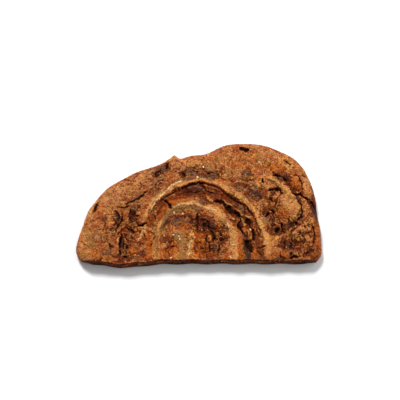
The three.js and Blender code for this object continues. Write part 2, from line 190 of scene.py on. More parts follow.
# Streaks with a crisp edge, each laid over those before: mask, and for each its half width, strength, points
STREAKS = [
    ("olive", (8, 90, (-29, 9), (-22, 7), (-18, 0)), (8.5, 95, (-19, 8), (-19, -2), (-18, -8)),
     (5, 80, (-18, -6), (-19, -13), (-23, -30))),
    ("slate", (2.6, 50, (-31, 10), (-26, 10))),
    ("amber", (5.5, 100, (-20, 16), (-14, 17)), (4, 70, (-36, -14), (-27, -5), (-24, 1))),
    ("pale", (3.6, 95, (-9, 15), (-8.5, 7), (-11.5, 0), (-12, -8), (-14, -18))),
    ("cream", (1.4, 60, (-9, 8), (-11.5, 0), (-12, -7), (-13.5, -16))),
    ("plum", (8, 90, (-1, 29), (5, 23), (14, 22))),
    ("stain", (3.2, 85, (-3.5, 32), (-2.5, 26)), (3.6, 85, (3, 24), (7, 21), (10, 25))),
    # The two narrow slate streaks at the middle of the coil paint grey sheen on its folds.
    ("slate", (2.6, 90, (11, 25), (15, 23), (18, 21)), (1.4, 90, (1, 24), (3, 19.5)),
     (1.6, 90, (6.5, 27), (7, 22)), (1.8, 85, (12, 17), (16, 14.5)), (2.6, 90, (19.5, -4), (20, -9))),
    ("plum", (4, 70, (13, -2), (17, -5), (13, -12)), (3.4, 70, (13, 12), (16, 6), (15, 2)),
     (3, 70, (22, 12), (26, 6))),
    ("slate", (1.8, 85, (31.5, 20), (31, 14)), (3, 50, (-6, 40), (1, 37)),
     (2.6, 90, (50, 12), (53, 7), (53, 3)), (3.2, 90, (57, -11), (55, -19)),
     (3, 60, (43, 45), (51, 38), (56, 34))),
    ("plum", (3.6, 80, (100, 73), (107, 64), (113, 54), (118, 45))),
    ("pale", (3.4, 100, (74, 77), (86, 74), (93, 70), (99, 64), (107, 54), (113, 44), (114, 36))),
    ("amber", (5, 60, (92, 40), (96, 33), (102, 31)), (4, 80, (78, -17), (86, -13), (92, -14))),
    ("plum", (2.2, 70, (84, -19), (92, -16), (98, -18)), (2.4, 60, (19, 48), (27, 46))),
    ("slate", (3.4, 85, (-97, 38), (-94, 31), (-97, 22)), (2.2, 80, (-89, 29), (-91, 24), (-96, 20)),
     (3, 70, (-98, 18), (-103, 15))),
    ("cream", (1.1, 70, (-94, 6), (-93.5, 2))),
    ("slate", (2.4, 80, (-90, 9), (-88.5, 0), (-90, -9)), (3.8, 90, (-82, 17), (-77, 15)),
     (3, 55, (-85, 11), (-82, 6)), (2.8, 90, (-84.5, -1), (-84, -6)),
     (2, 90, (-80, 40), (-80, 35), (-76, 31))),
    ("plum", (6, 85, (-76, 40), (-78, 33), (-79, 26))), ("slate", (2, 70, (-77, 42), (-73, 40), (-72, 35))),
    ("pale", (2, 90, (-62, 20), (-66, 13), (-69, 3))),
    ("cream", (1.2, 50, (-63, 18), (-66, 12), (-68.5, 5)), (1.5, 40, (-75, -4), (-70.5, -1))),
    ("plum", (4, 60, (-70, -10), (-62, -14))), ("slate", (3, 50, (-64, 60), (-72, 54), (-82, 48))),
    ("cream", (1.5, 35, (-131, 31), (-127, 40), (-122, 50))),
    ("plum", (6, 95, (97, -1), (102, -2), (108, -1))),
    ("slate", (1.6, 90, (101, 2), (100, -6)), (1.4, 90, (107, 2), (107.5, -5))),
    ("amber", (5, 80, (106, 74), (112, 68))),
    ("slate", (2.5, 70, (128, 46), (132, 40), (132, 35)), (3, 80, (92, 81), (98, 79), (101, 75)),
     (3.6, 90, (103, 22.5), (107, 21.5)), (3, 80, (113, 28), (118, 31))),
    ("plum", (4.5, 80, (80, 30), (83, 26), (85, 20))),
    ("slate", (2.6, 80, (82, 27), (84, 23)), (3, 70, (84, 14), (88, 15))),
    ("plum", (4, 70, (72, 36), (78, 36)), (5, 60, (52, 62), (62, 57), (72, 54))),
    ("slate", (4.2, 80, (57, 64), (64, 60), (71, 57))),
    ("plum", (6, 70, (84, 62), (86, 57)), (4.5, 85, (125, 52), (131, 44), (134, 33)),
     (5, 70, (121, -12), (127, -8), (128, -2)), (4, 60, (-86, -15), (-88, -4))),
    ("olive", (3.4, 80, (-45, 8), (-43, 22), (-38, 33), (-30, 40), (-20, 43), (-8, 42), (2, 41)),
     (3.2, 60, (-51, 24), (-51, 8), (-49, -17))),
    ("slate", (1.7, 80, (-42, 19), (-39, 26), (-36, 31)), (3.4, 60, (-33, 26), (-22, 28), (-12, 26))),
    ("olive", (4, 60, (-31, 32), (-20, 33), (-10, 32))),
    ("plum", (2.8, 90, (-30, 31), (-22, 32)), (2.6, 90, (-15, 34), (-8, 30)), (2.4, 80, (-13, 24), (-7, 26)),
     (2.4, 60, (-38, 6), (-36, -1))),
    ("stain", (1.6, 45, (-31, 33), (-20, 32), (-8, 37)), (3, 50, (-38, 8), (-35, 0))),
    ("slate", (2.6, 60, (-39, 5), (-37, 0)), (4, 55, (0, 52), (5, 46))),
    # These three streaks darken the same crevice: dark filling with painted shade.
    ("plum", (5, 90, (-21, 63), (-8, 66.5), (6, 68))), ("slate", (1.8, 60, (-14, 66), (-7, 67.5), (1, 67))),
    ("stain", (0.9, 80, (-16, 62), (-4, 61), (4, 63))),
    # These lines paint highlights along the crests of the outer and the inner ridge.
    ("cream", (1.5, 70, (-58, 38), (-50, 51.5), (-42, 60), (-34, 68), (-27, 72.5), (-18, 75.5)),
     (1.5, 50, (-17, 47), (-14, 45)), (1.8, 60, (5, 43), (12, 42), (19, 38.5)),
     (1.3, 60, (-32, 43), (-22, 47), (-8, 47), (2, 45)), (1.3, 50, (34, -17), (38, -17)),
     (1.6, 50, (32, 24), (34, 20))),
    ("stain", (1.8, 60, (-112, 31), (-110.5, 25))), ("slate", (2.2, 80, (-109, 31), (-108, 26))),
    ("olive", (4, 50, (-108, 62), (-105, 54))), ("slate", (2.2, 60, (-90, 41), (-84, 43), (-76, 43))),
    ("olive", (5, 60, (-128, 8), (-124, 2), (-125, -6))),
    ("amber", (4.5, 85, (-22, 16), (-17, 18), (-13, 17))),
    ("slate", (2.6, 60, (-33, 21), (-27, 21), (-21, 23))), ("plum", (2.8, 80, (46, 17), (48, 22), (48, 27))),
    ("stain", (3.4, 50, (43, 71), (52, 69))),
    ("slate", (2.8, 62, (-22, 75.5), (-13, 77), (-4, 77.5)), (2.4, 55, (6, 77.5), (15, 76))),
    ("plum", (2.2, 70, (21, 46), (26, 47))),
]

# Where the crust is whole and smooth: x, y, half length, half width, turn, strength
WHOLE_ZONES = [
    (-21, 0, 19, 10, 90, 100), (-51, 4, 24, 7, 92, 90), (38, 4, 20, 6, 95, 80), (22, 34, 11, 7, -45, 70),
    (-92, 52, 34, 14, 35, 60), (-126, 10, 26, 12, 95, 60), (40, 100, 34, 12, -5, 70),
    (-24, 50, 16, 6, 15, 60), (74, 15, 30, 6, 105, 80), (101, 43, 17, 11, 115, 60), (-2, 2, 8, 14, 0, 70),
    (91, 71, 16, 3, -38, 90), (104, 59, 8, 3, -55, 90), (74, 98, 30, 11, -20, 60),
]

# Plates and lumps of crust with a sharp edge: x, y, half length, half width, turn, height, mask, its strength
PLATES = [
    (101, 43, 17, 11.5, 115, 2, "pale", 45), (89, 58, 5, 4, 40, 1.2, "pink", 50),
    (84, 53, 4, 3, 60, 1, "amber", 40), (112, 73, 9, 7, -50, 1.4, "amber", 70),
    (124, 68, 12, 6, 105, 1.2, "pink", 50), (90, 90, 8, 5, -10, 1, "amber", 90),
    (113, 7, 7, 4.5, 10, 1.8, "pink", 40), (122, 6, 5, 4, 60, 1.4, "amber", 60),
    (125, 22, 9, 6, 70, 1.2, "pink", 35), (113, 15, 7, 3.6, 35, 1.2, "pink", 40),
    (104, -12, 5, 4, 0, 0.8, "slate", 70), (97, -14, 5, 3, 0, 1.2, "amber", 90),
    (130, -9, 6, 7, 90, 1.2, "stain", 30), (112, -11, 6, 4, -20, 1.1, "pink", 40),
    (132, 14, 7, 4, 95, 1.2, "amber", 50), (75, 38, 5, 5, 60, 1.3, "stain", 36),
    (84, 27, 6, 4, 70, 1.1, "slate", 60), (74, 48, 6, 4, -50, 0.9, "pink", 30),
    (72, 60, 5, 4, -40, 0.8, "stain", 36), (62, 62, 8, 5, -40, 0.9, "slate", 70),
    (105, 22, 5, 3, 10, 0.6, "slate", 80), (93, 20, 4, 2, -60, 1, "amber", 40),
    (131, 37, 5, 3.5, 100, 1, "slate", 70), (-78, 26, 9, 6.5, 15, 1.8, "stain", 34),
    (-75, 39, 5, 4.5, 60, 1.2, "slate", 60), (-85, 36, 5, 8, 15, 1, "amber", 40),
    (-71, 13, 8, 5.5, 50, 1.3, "amber", 30), (-82, 3, 4, 6, 0, 1.1, "stain", 30),
    (-78, -11, 6, 6, 0, 1.2, "amber", 70), (-58, 5, 7, 5, 80, 1.2, "amber", 40),
    (-68, 37, 6, 5, 40, 1, "amber", 30), (-104, 4, 6, 4, 10, 0.8, "stain", 30),
    (-54, 30, 8, 4.5, 110, 1.2, "stain", 34), (-50, 43, 8, 4, 60, 1, "stain", 36),
    (-97, -8, 5, 7, 0, 1.1, "pink", 40), (-32, -1, 4, 3, 20, 1.2, "amber", 50),
    (-31, -8, 6, 4, 10, 1, "amber", 60), (-37, 5, 5, 6, 0, 0.8, "stain", 40),
    (18, 10, 4, 3, 60, 1.4, "amber", 30), (11, 6, 3, 4, 0, 1.4, "amber", 40),
    (18, -4, 4, 5, 0, 1.5, "slate", 60), (53, 14, 4, 5, 20, 1.8, "amber", 60),
    (48, 27, 3, 4, 0, 1.6, "stain", 30), (-45, 87, 8, 4, 20, 0.9, "slate", 70),
    (-49, 76, 8, 4, 35, 0.9, "slate", 50), (-29, 96, 9, 7, 60, 0.9, "pink", 80),
    (12, 90, 6, 5, 20, 0.9, "slate", 40), (15, 81, 6, 3.5, 0, 0.8, "slate", 70),
    (-10, 86, 6, 4, 10, 0.7, "slate", 70), (46, 68, 5, 6, 0, 0.8, "slate", 60),
    (57, 82, 4, 3, 0, 0.6, "slate", 80),
]
SCATTERED_PLATES = 300
PLATE_SIZES = (3.0, 8.0)
PLATE_SLIMNESS = (0.3, 0.65)  # width over length
PLATE_TONE = 0.48
PLATE_MASKS = ("amber", "pink", "stain", "slate", "pale")
BARE_MIDDLE, BARE_RADIUS = (8, 8), 27  # no scattered plate lies here, in the centre of the coil

# Stains of the crust, by mask: x, y, half length, half width, turn, strength
STAINS = {
    "amber": [
        (-34, -9, 8, 8, 0, 70), (-28, 22, 8, 3, 20, 50), (-2, 4, 9, 8, 0, 90), (4, -10, 10, 6, 0, 70),
        (47, -4, 14, 4, 95, 80), (24, 42, 8, 4, -45, 80), (-24, 51, 13, 4, 15, 70), (61, -13, 8, 5, 90, 60),
        (-43, 38, 8, 2.5, 55, 80), (-59, -4, 14, 4, 92, 70), (-74, -6, 8, 6, 0, 50),
        (-112, -12, 16, 5, 5, 50), (88, 91, 10, 4, 0, 85), (90, 84, 8, 3, 0, 60), (110, 70, 8, 6, -40, 60),
        (112, 8, 7, 4, 30, 50), (122, -3, 6, 4, 0, 50), (134, 0, 18, 4, 92, 80), (130, -14, 8, 4, 0, 70),
    ],
    "stain": [
        (5, 24, 11, 9, 0, 55), (18, 12, 13, 8, -40, 40), (14, -9, 9, 6, 30, 36), (4, 60, 24, 5, -5, 40),
        (-18, 58, 18, 4, 15, 36), (38, 34, 12, 5, -50, 60), (-46, 42, 11, 4, 60, 45), (13, 53, 9, 6, 0, 40),
        (57, 14, 15, 5, 100, 55), (67, 0, 14, 3.5, 100, 45), (-90, -14, 8, 4, 95, 58),
        (-92, 20, 12, 4, 80, 43), (-79, 27, 9, 6, 0, 42), (-86, -16, 8, 4, 0, 45), (-84, -4, 12, 3, 80, 39),
        (-121, 43, 7, 2.4, 62, 55), (-38, 94, 5, 3, 70, 55), (-19, 83, 4, 3, 80, 62), (99, 77, 4, 3, -30, 55),
        (88, 61, 7, 5, 0, 55), (90, 15, 8, 4.5, 15, 74), (112, 23, 7, 2.6, 35, 62), (133, 42, 12, 4, 98, 74),
        (130, 28, 8, 5, 80, 39), (102, -1, 10, 6, 0, 60), (113, -12, 12, 4, 0, 43),
    ],
    "slate": [
        (30, 20, 5, 9, 0, 30), (53, -9, 12, 2.6, 100, 90), (-107, -10, 6, 3, 0, 50),
        (-76, -14, 12, 4, 10, 50), (-50, 88, 11, 5, 20, 55), (4, 84, 18, 5, -2, 70), (50, 74, 9, 6, -40, 40),
        (64, 60, 11, 6, -40, 70), (54, 84, 7, 3, -30, 50), (95, 79, 9, 3, -20, 85), (76, 28, 6, 4, 0, 50),
        (104, 22, 5, 4, 0, 70),
    ],
    "pale": [
        (39, 0, 15, 4, 92, 75), (24, 34, 10, 4.5, -45, 70), (14, 41, 6, 4, -20, 90), (-26, -15, 12, 4, 0, 40),
        (-50, 0, 18, 4, 92, 50), (70, 26, 20, 4, 108, 80), (76, 2, 13, 4, 93, 45), (-66, 14, 9, 2.4, 65, 90),
        (-68, -8, 4, 2.5, 60, 50), (-126, 42, 16, 2.6, 62, 70), (-132, 0, 22, 8, 95, 40),
        (0, 95, 14, 5, 0, 50),
    ],
    "olive": [
        (36, 4, 14, 4, 94, 50), (30, 24, 7, 4, -50, 50), (4, 92, 8, 5, 0, 40),
    ],
    "pink": [
        (15, 31, 9, 4, -20, 50), (-104, 58, 22, 7, 33, 70), (-60, 76, 20, 9, 30, 60),
        (-28, 96, 10, 9, 60, 90), (96, 66, 18, 3.4, -48, 80), (104, 50, 8, 7, 0, 70),
        (116, 17, 9, 10, 30, 70), (124, 0, 8, 10, 0, 50),
    ],
    "cream": [
        (-66, 12, 8, 1.6, 65, 80),
    ],
}

# Where the crust as a whole is paler or browner: x, y, half length, half width, turn, change
BROWNING = [
    (-9, 4, 16, 4, 95, 55), (-26, 4, 9, 9, 0, -25), (-17, 16, 6, 4, 0, 30), (-34, 24, 10, 6, 40, -20),
    (-12, 34, 9, 5, 0, -32), (0, 95, 16, 6, 0, 24), (88, 8, 9, 6, 40, 26), (88, 74, 13, 3, -32, 50),
    (103, 61, 9, 3, -52, 50), (95, 37, 11, 7, 115, -40), (113, 46, 9, 2.5, -70, 30),
    (112, 86, 26, 12, -50, 26), (110, 5, 8, 6, 0, 35), (118, 20, 10, 11, 0, -36), (104, -9, 14, 7, 0, -20),
    (112, 7, 8, 5, 0, 60), (-105, 55, 16, 10, 40, -20), (-125, 5, 18, 8, 90, -16), (61, 42, 9, 4, -55, 40),
    (72, 18, 16, 4, 105, 35), (26, 82, 10, 6, 0, 40), (-24, 47, 10, 6, 20, -60), (-48, 58, 9, 6, 40, -35),
    (12, 46, 8, 4, -20, -15), (-40, 68, 12, 6, 35, -20), (48, 57, 7, 6, 0, -20), (24, 46, 8, 5, -30, -40),
    (100, 95, 8, 6, -30, 20), (94, 11, 9, 5, 0, 50), (66, 71, 12, 6, -20, 40), (90, 36, 36, 40, 0, 19),
    (-72, 30, 20, 40, 0, -8), (0, 60, 70, 20, 0, -6), (-12, 12, 5, 8, 0, 20), (-36, -8, 7, 12, 0, 20),
    (60, 12, 5, 10, 20, -20), (0, 96, 100, 16, 0, -12), (-50, 34, 36, 50, 0, -10), (-24, 94, 12, 8, 0, -20),
    (-108, 24, 9, 10, 0, -25), (-115, 30, 40, 14, 68, -14), (122, 28, 20, 10, 90, 20),
    (128, 62, 16, 8, 110, 20), (92, 98, 20, 7, -25, 15), (-24, 34, 22, 7, 25, -36), (-30, 49, 22, 7, 38, -36),
    (5, 59, 20, 7, -5, -32), (-14, 83, 9, 5, 0, -28), (-60, -5, 8, 14, 0, -45), (-74, 12, 12, 12, 0, -16),
    (-8, 60, 16, 5, 0, -15), (-28, 62, 34, 9, 32, -16), (-72, 0, 8, 10, 0, -28), (-73, 36, 8, 8, 0, -18),
    (-70, 58, 13, 6, 30, -20), (-47, 72, 10, 6, 40, -22), (46, 64, 14, 7, -45, -28),
    (-108, -4, 12, 9, 0, -20), (14, -14, 14, 5, 0, -16), (80, -15, 26, 5, 0, -70), (48, 22, 6, 9, 20, -40),
    (-84, 34, 6, 6, 0, 20),
]
ALL_BROWNING = 0.03
# Darker along the edge of the cut.
CUT_EDGE_DARKENING, CUT_EDGE_REACH = -0.18, 3.0  # along the edge of the cut

# Where the crust is broken and dark patches of filling show: x, y, half length, half width, turn, strength
BROKEN_ZONES = [
    (112, 8, 36, 28, 90, 62), (86, 38, 42, 13, -60, 80), (-84, 14, 44, 15, 80, 90), (8, 8, 28, 22, 0, 90),
    (10, 88, 32, 9, 0, 60), (-55, 74, 36, 13, 35, 55), (58, 40, 44, 11, -52, 100), (0, 62, 34, 8, 0, 80),
    (60, 66, 26, 12, -42, 60), (100, 74, 22, 10, -45, 60), (-32, 2, 16, 14, 0, 50), (-55, 30, 30, 6, 70, 40),
]

# Steps of the mesh: along the cut, from the cut to the round crust, down the cut and down the round crust
ACROSS = 376
DEEP = 190
CUT_ROWS = 36
CRUST_ROWS = 12
GRID_STEP = 0.73  # mean distance between neighbouring points of the top

# Sesame seeds on the crust: length, width and thickness, how far their middle lies over it, and their places
SEED_SIZE = (3.0, 1.9, 1.1)
SEED_LIFT = 0.25
SEED_TAPER = 0.35  # how much slimmer than an oval the pointed end is
SEED_SCALES, SEED_TILT = (0.85, 1.1), 0.15  # least and largest, and the usual tilt in radians
SEED_RINGS, SEED_SIDES = 8, 8
# Several seeds sit on small white glints of the crust: partly real seeds, partly painted glints.
SEEDS = [
    (-14, 46), (-30, 37), (-20, 35.5), (-24, 8), (-30.5, 10), (-23, 5), (-41, 9), (4, 92), (-3, 79), (38, -2),
    (35, -16), (-47, 53), (-33, -17), (69, 97), (58, 17),
]

# Noise fields: reach, size in millimetres, seed, and for rough ones the octaves and how much each keeps
FIELDS = {
    "cut waves": (0.8, 7, 500), "cut edge": (0.7, 2.6, 501), "cut tears": (0.8, 4.1, 502),
    "broad tone": (0.14, 13, 100, 4, 0.7), "fine tone": (0.22, 3, 110, 3, 0.7),
    "tan": (0.55, 18, 105, 4, 0.6), "broken ridge": (0.5, 9, 10, 3), "band lines": (1, 1.6, 20),
    "patchy stains": (0.5, 5, 30, 4, 0.7), "torn": (0.3, 14, 40), "spots": (1, 7, 170, 4, 0.65),
    "creased": (1, 9, 66), "wrinkles": (0.45, 5.5, 60, 3), "swelling": (0.4, 16, 70, 3),
    "lumps": (0.3, 2.6, 75), "roughness": (0.16, 1.5, 76), "plate edge": (0.2, 7, 140),
    "fine plate edge": (0.18, 3, 142), "plate crease": (1, 5, 144), "crack width": (0.8, 4, 84),
    "layer waves": (1.1, 9, 200, 3), "layer edges": (0.3, 3, 210), "layer gaps": (1, 6, 220),
    "cut relief": (0.5, 5, 230, 3), "cut tone": (0.25, 6, 240, 3), "cut filling": (0.3, 8, 250, 3),
    "side stains": (1, 20, 310, 4, 0.6), "seam height": (2.4, 26, 320), "seam": (1, 20, 330, 3),
    "grain": (0.2, 2.6, 400, 3, 0.6), "side lumps": (0.5, 7, 410, 3), "side roughness": (0.3, 3, 415),
}
WARPS = [(1.3, 11, 1, 3), (0.9, 4, 2, 4), (0.5, 2, 5, 6)]  # reach, size, seed for x and seed for y
JAGS = [(1.0, 2.6, 80, 81), (1.0, 7, 82, 83)]

# The spiral that noise follows: how far its middle lies in front of the coil's, and millimetres a radian
SPIRAL_BACK, SPIRAL_STRETCH = 6, 30
SPIRAL_RADII, SPIRAL_SHARE = (38, 62), 0.4  # between these radii it comes in, up to this share
MEAN_TONE, MEAN_TAN, OUTER_TAN, OUTER_RADII = 0.5, 0.15, 0.6, (72, 84)

# The bare layers between the outer ridge and the deep split: radii and angles where they start, are full,
# begin to end and stop, how deep they lie, and what their fine lines add to the relief, the tone and the
# filling that shows
BAND_RADII, BAND_ANGLES = (57, 60, 65, 67.5), (16, 30, 78, 96)
BAND_DEPTH, BAND_LINES, BAND_TONE, BAND_STAIN, BAND_STAIN_LINES = 1.6, 0.45, 0.3, 0.5, 0.45

STAIN_SPREAD, STAIN_BODY, STAIN_BREAKUP = 1.2, 1.25, 1.3
STAIN_EDGE, STAIN_END = (0.25, 0.7), (0.03, 0.2)
LEAST_TORN, TORN_EDGE = 0.28, (0.15, 0.7)
PATCHES, PATCH_EDGE = [(15, 0.18, 44), (6.5, 0.22, 47)], (-0.1, 0.35)  # size, strength, seed
SPOT_STRENGTH, SPOT_EDGE = 0.75, (0.38, 0.5)

# Torn leaves: size, steps, height of a step, seed. Then the width of a riser, how much the slope between two
# steps keeps, the height of a lip, the depth of a foot, and what they add to the masks, as a painted
# highlight on each lip and painted shade at each foot, and to the tone
LEAVES = [(12, 2.2, 0.55, 50), (6, 1.8, 0.25, 54)]
RISER, LEAF_SLOPE, LEAF_LIP, LEAF_FOOT = 0.8, 0.35, 0.2, 0.4
LEAF_LIP_HIGHLIGHT, LEAF_FOOT_SHADE, LEAF_TONE = 0.2, 0.55, 0.09

CREASE_SIZE, CREASE_WIDTH, CREASE_DEPTH, CREASE_SHADE = 5.2, 0.9, 0.6, 0.45
# A plate's crease takes a painted shadow and its rim a painted highlight.
PLATE_CREASE, PLATE_RIM_HIGHLIGHT, PLATE_EDGE_WIDTH, PLATE_EDGE_SHADOW = 0.7, 0.14, 0.9, 0.45
LIP_HEIGHT, LIP_PALE_AND_HIGHLIGHT = 1.5, 0.85
WINDING_CRACKS, WINDING_WIDTH, WINDING_DEPTH = [(10, 120), (7, 126), (5, 132)], 0.7, 0.9  # size and seed
CRACK_WIDTH, CRACK_DEPTH, FULL_CRACK = 1.1, 1.2, 0.95  # from this half width on a crack is fully dark
SPLIT_WIDTH, SPLIT_DEPTH, FULL_SPLIT = 1.15, 3.6, 0.9
OPEN_LIP, OPEN_LIP_AT, OPEN_LIP_WIDTH, OPEN_LIP_HIGHLIGHT = 0.2, 1.9, 0.6, 0.14
# The pinholes' darkening, the fourth column, is painted shade in the pits.
PINHOLES = [(4.5, 0.85, 0.6, 0.65, 90), (2.9, 0.6, 0.3, 0.55, 94)]  # size, width, depth, stain, seed

# Hollows get painted shade and raised edges a painted highlight: reach of the mean in steps of the mesh,
# depth or rise that counts as full, and share of a rise
HOLLOWS = [(2, 0.45), (5, 1.1), (11, 2.8)]
RISES = [(2, 0.35, 0.6), (5, 1.2, 1)]
HOLLOW_SHADE, HOLLOW_LEAST, HOLLOW_MOST, RISE_HIGHLIGHT = 0.34, 0.04, 0.8, 0.2

# Turns of the coil that the cut goes through: where they meet along the cut, and the dough layers in each
TURN_ENDS = [-144, -94, -64, -30, 22, 57, 97, 142]
LAYERS_IN_TURN = 5.0
GAP_DEPTH, LAYER_RELIEF = 1.3, 0.5
SKIN_TOP, SKIN_FOOT = 0.06, 0.05  # shares of the height that the crust takes at the top and at the foot
CUT_MASKS, UNDERSIDE_MASKS = dict(tan=0.4, amber=0.15), dict(mottle=0.42, stain=0.1, tan=0.5)
SEAM_HEIGHT, SEAM_WIDTH = 3.8, 0.6  # on the round crust
RING_INSET = 0.05  # share of the way from the foot to the middle of the underside
FLAT_FOOT = (0.4, 2.0)  # heights between which the grain of the sides fades in


def bell(distance, spread):
    return np.exp(-((distance / spread) ** 2))


def smoothstep(value, low, high):
    share = np.clip((value - low) / (high - low), 0, 1)
    return share * share * (3 - 2 * share)


def lerp(low, high, share):
    return low + (high - low) * share


# Noise in three dimensions, the same each time for the same seed

TABLE = 4096
random = np.random.default_rng(SEED)
GRADIENTS = random.normal(size=(TABLE, 3))
GRADIENTS /= np.linalg.norm(GRADIENTS, axis=1, keepdims=True)
SCATTER = random.random((TABLE, 3))
HASH, SEED_HASH = np.array([73856093, 19349663, 83492791]), 40503
NOISE_GAIN, ROUGH_GAIN = 1.7, 1.4  # they bring noise to about -1 to 1


def scramble(cell, seed):
    mixed = cell * HASH
    return (mixed[:, 0] ^ mixed[:, 1] ^ mixed[:, 2] ^ (seed * SEED_HASH)) % TABLE


def noise(points, size, seed):
    """Smooth noise from about -1 to 1, with lumps as wide as size."""
    place = points / size
    cell = np.floor(place).astype(np.int64)
    inside = place - cell
    ease = inside**3 * (inside * (inside * 6 - 15) + 10)
    total = np.zeros(len(points))
    for corner in itertools.product((0, 1), repeat=3):
        gradient = GRADIENTS[scramble(cell + corner, seed)]
        weight = np.where(np.array(corner) == 1, ease, 1 - ease).prod(axis=1)
        total += weight * (gradient * (inside - corner)).sum(axis=1)
    return NOISE_GAIN * total


def rough_noise(points, size, seed, octaves, keep=0.5):
    """Octaves of noise, each half as wide and keep times as strong, from about -1 to 1."""
    total, strength, sum_of_strengths = 0, 1, 0
    for octave in range(octaves):
        total = total + strength * noise(points, size / 2**octave, seed + octave)
        sum_of_strengths += strength
        strength *= keep
    return total / sum_of_strengths * ROUGH_GAIN


def field(name, points):
    """One of the named noise fields."""
    reach, size, seed, *octaves = FIELDS[name]
    return reach * (rough_noise(points, size, seed, *octaves) if octaves else noise(points, size, seed))


def shifted(x, y, points, shifts):
    """Places moved by noise, so that what is drawn with them gets an uneven outline."""
    for reach, size, seed_x, seed_y in shifts:
        x, y = x + reach * noise(points, size, seed_x), y + reach * noise(points, size, seed_y)
    return x, y


def cell_noise(points, size, seed):
    """Distances to the nearest and the second nearest scattered point, with one point in each cell."""
    place = points / size
    cell = np.floor(place).astype(np.int64)
    nearest = np.full(len(points), np.inf)
    second = np.full(len(points), np.inf)
    for step in itertools.product((-1, 0, 1), repeat=3):
        there = cell + step
        gap = np.linalg.norm(there + SCATTER[scramble(there, seed)] - place, axis=1)
        second = np.minimum(second, np.maximum(nearest, gap))
        nearest = np.minimum(nearest, gap)
    return nearest, second


# The plan of the half loaf


def heading(dx, dy):
    """The angle of a direction in degrees, from -90 to 270."""
    angle = np.degrees(np.arctan2(dy, dx))
    return np.where(angle < -90, angle + 360, angle)


def outline_radius(angle):
    radius = DISC_RADIUS + 0 * angle
    for at, spread, reach in BULGES:
        radius = radius + reach * bell(angle - at, spread)
    for count, reach, phase in RIM_WAVES:
        radius = radius + reach * np.sin(np.radians(count * angle + phase))
    to_corner = np.minimum(abs(angle), abs(angle - 180))
    return radius - CORNER_OFF * np.maximum(0, 1 - to_corner / CORNER_SPREAD) ** 2


def crust_point(angle):
    angle = np.asarray(angle, float)
    radius = outline_radius(angle)
    turned = np.radians(angle)
    return np.stack([PIVOT_X + radius * np.cos(turned), -CUT_BACK + radius * np.sin(turned)], -1)


def cut_swing(x):
    """How far the cut swings out to the front."""
    return BOW_REACH * bell(x - BOW_AT, BOW_SPREAD) + WAVE_REACH * np.sin(2 * np.pi * x / WAVE_LENGTH)


def off_corners(share):
    """One along most of the cut, down to zero at its two corners."""
    return 1 - (2 * share - 1) ** CORNER_POWER


def cut_point(share):
    left, right = crust_point(180)[0], crust_point(0)[0]
    x = lerp(left, right, share)
    flat = np.stack([x, 0 * x, 0 * x], -1).reshape(-1, 3)
    ragged = field("cut waves", flat) + field("cut edge", flat) + np.maximum(0, field("cut tears", flat))
    return np.stack([x, -CUT_BACK - off_corners(share) * (cut_swing(x) - ragged.reshape(x.shape))], -1)


def plan_grid():
    """A Coons patch between the cut and three stretches of the round crust, row by row from the cut."""
    along = np.linspace(0, 1, ACROSS + 1)[None, :, None]
    away = np.linspace(0, 1, DEEP + 1)[:, None, None]
    front = cut_point(along[..., 0])
    back = crust_point(lerp(180 - ARC_SPLIT, ARC_SPLIT, along[..., 0]))
    left = crust_point(lerp(180, 180 - ARC_SPLIT, away[..., 0]))
    right = crust_point(lerp(0, ARC_SPLIT, away[..., 0]))
    low = lerp(crust_point(180), crust_point(0), along)
    high = lerp(crust_point(180 - ARC_SPLIT), crust_point(ARC_SPLIT), along)
    return lerp(front, back, away) + lerp(left, right, along) - lerp(low, high, away)


def inside_crust(x, y):
    """How far a point lies inside the round crust."""
    dx, dy = x - PIVOT_X, y + CUT_BACK
    return outline_radius(heading(dx, dy)) - np.hypot(dx, dy)


# The relief and the stains of the top


def line_place(line, x, y):
    """How strongly a ridge or seam acts at each point, and how far outside its middle the point is."""
    dx, dy = x - line.centre[0], y - line.centre[1]
    angle = heading(dx, dy)
    angles, radii = map(np.array, zip(*line.knots))
    after = np.clip(np.searchsorted(angles, angle, side="right"), 1, len(angles) - 1)
    share = smoothstep(angle, angles[after - 1], angles[after])
    radius = lerp(radii[after - 1], radii[after], share)
    strength = between(angle, angles[0], angles[0] + FADE, angles[-1] - FADE, angles[-1])
    return strength, np.hypot(dx, dy) - radius


def between(value, start, full, ending, end):
    """Zero outside start and end, one from full to ending."""
    return smoothstep(value, start, full) * (1 - smoothstep(value, ending, end))


def along_and_across(x, y, at_x, at_y, turn):
    """Places seen from the middle of something turned by some degrees."""
    c, s = math.cos(math.radians(turn)), math.sin(math.radians(turn))
    return (x - at_x) * c + (y - at_y) * s, (y - at_y) * c - (x - at_x) * s


def oval(x, y, at_x, at_y, long, wide, turn):
    """One at the middle of an oval, falling off all round."""
    along, across = along_and_across(x, y, at_x, at_y, turn)
    return bell(along, long) * bell(across, wide)


def line_through(points, x, y):
    """Distance from a line through a few points, and how near a place is to one of its ends, from 0 to 1."""
    steps = [math.dist(a, b) for a, b in zip(points, points[1:])]
    total = sum(steps)
    nearest, run, done = np.full(len(x), np.inf), np.zeros(len(x)), 0
    for (ax, ay), (bx, by), step in zip(points, points[1:], steps):
        share = np.clip(((x - ax) * (bx - ax) + (y - ay) * (by - ay)) / step**2, 0, 1)
        gap = np.hypot(x - lerp(ax, bx, share), y - lerp(ay, by, share))
        run = np.where(gap < nearest, done + share * step, run)
        nearest = np.minimum(nearest, gap)
        done += step
    return nearest, abs(2 * run / total - 1)


def along_coil(x, y, z):
    """Coordinates that are stretched along the turns of the coil, so that noise there is long and narrow."""
    radius = np.hypot(x, y + SPIRAL_BACK)
    turned = np.arctan2(y + SPIRAL_BACK, x)
    return np.stack([radius, turned * SPIRAL_STRETCH, z], 1)


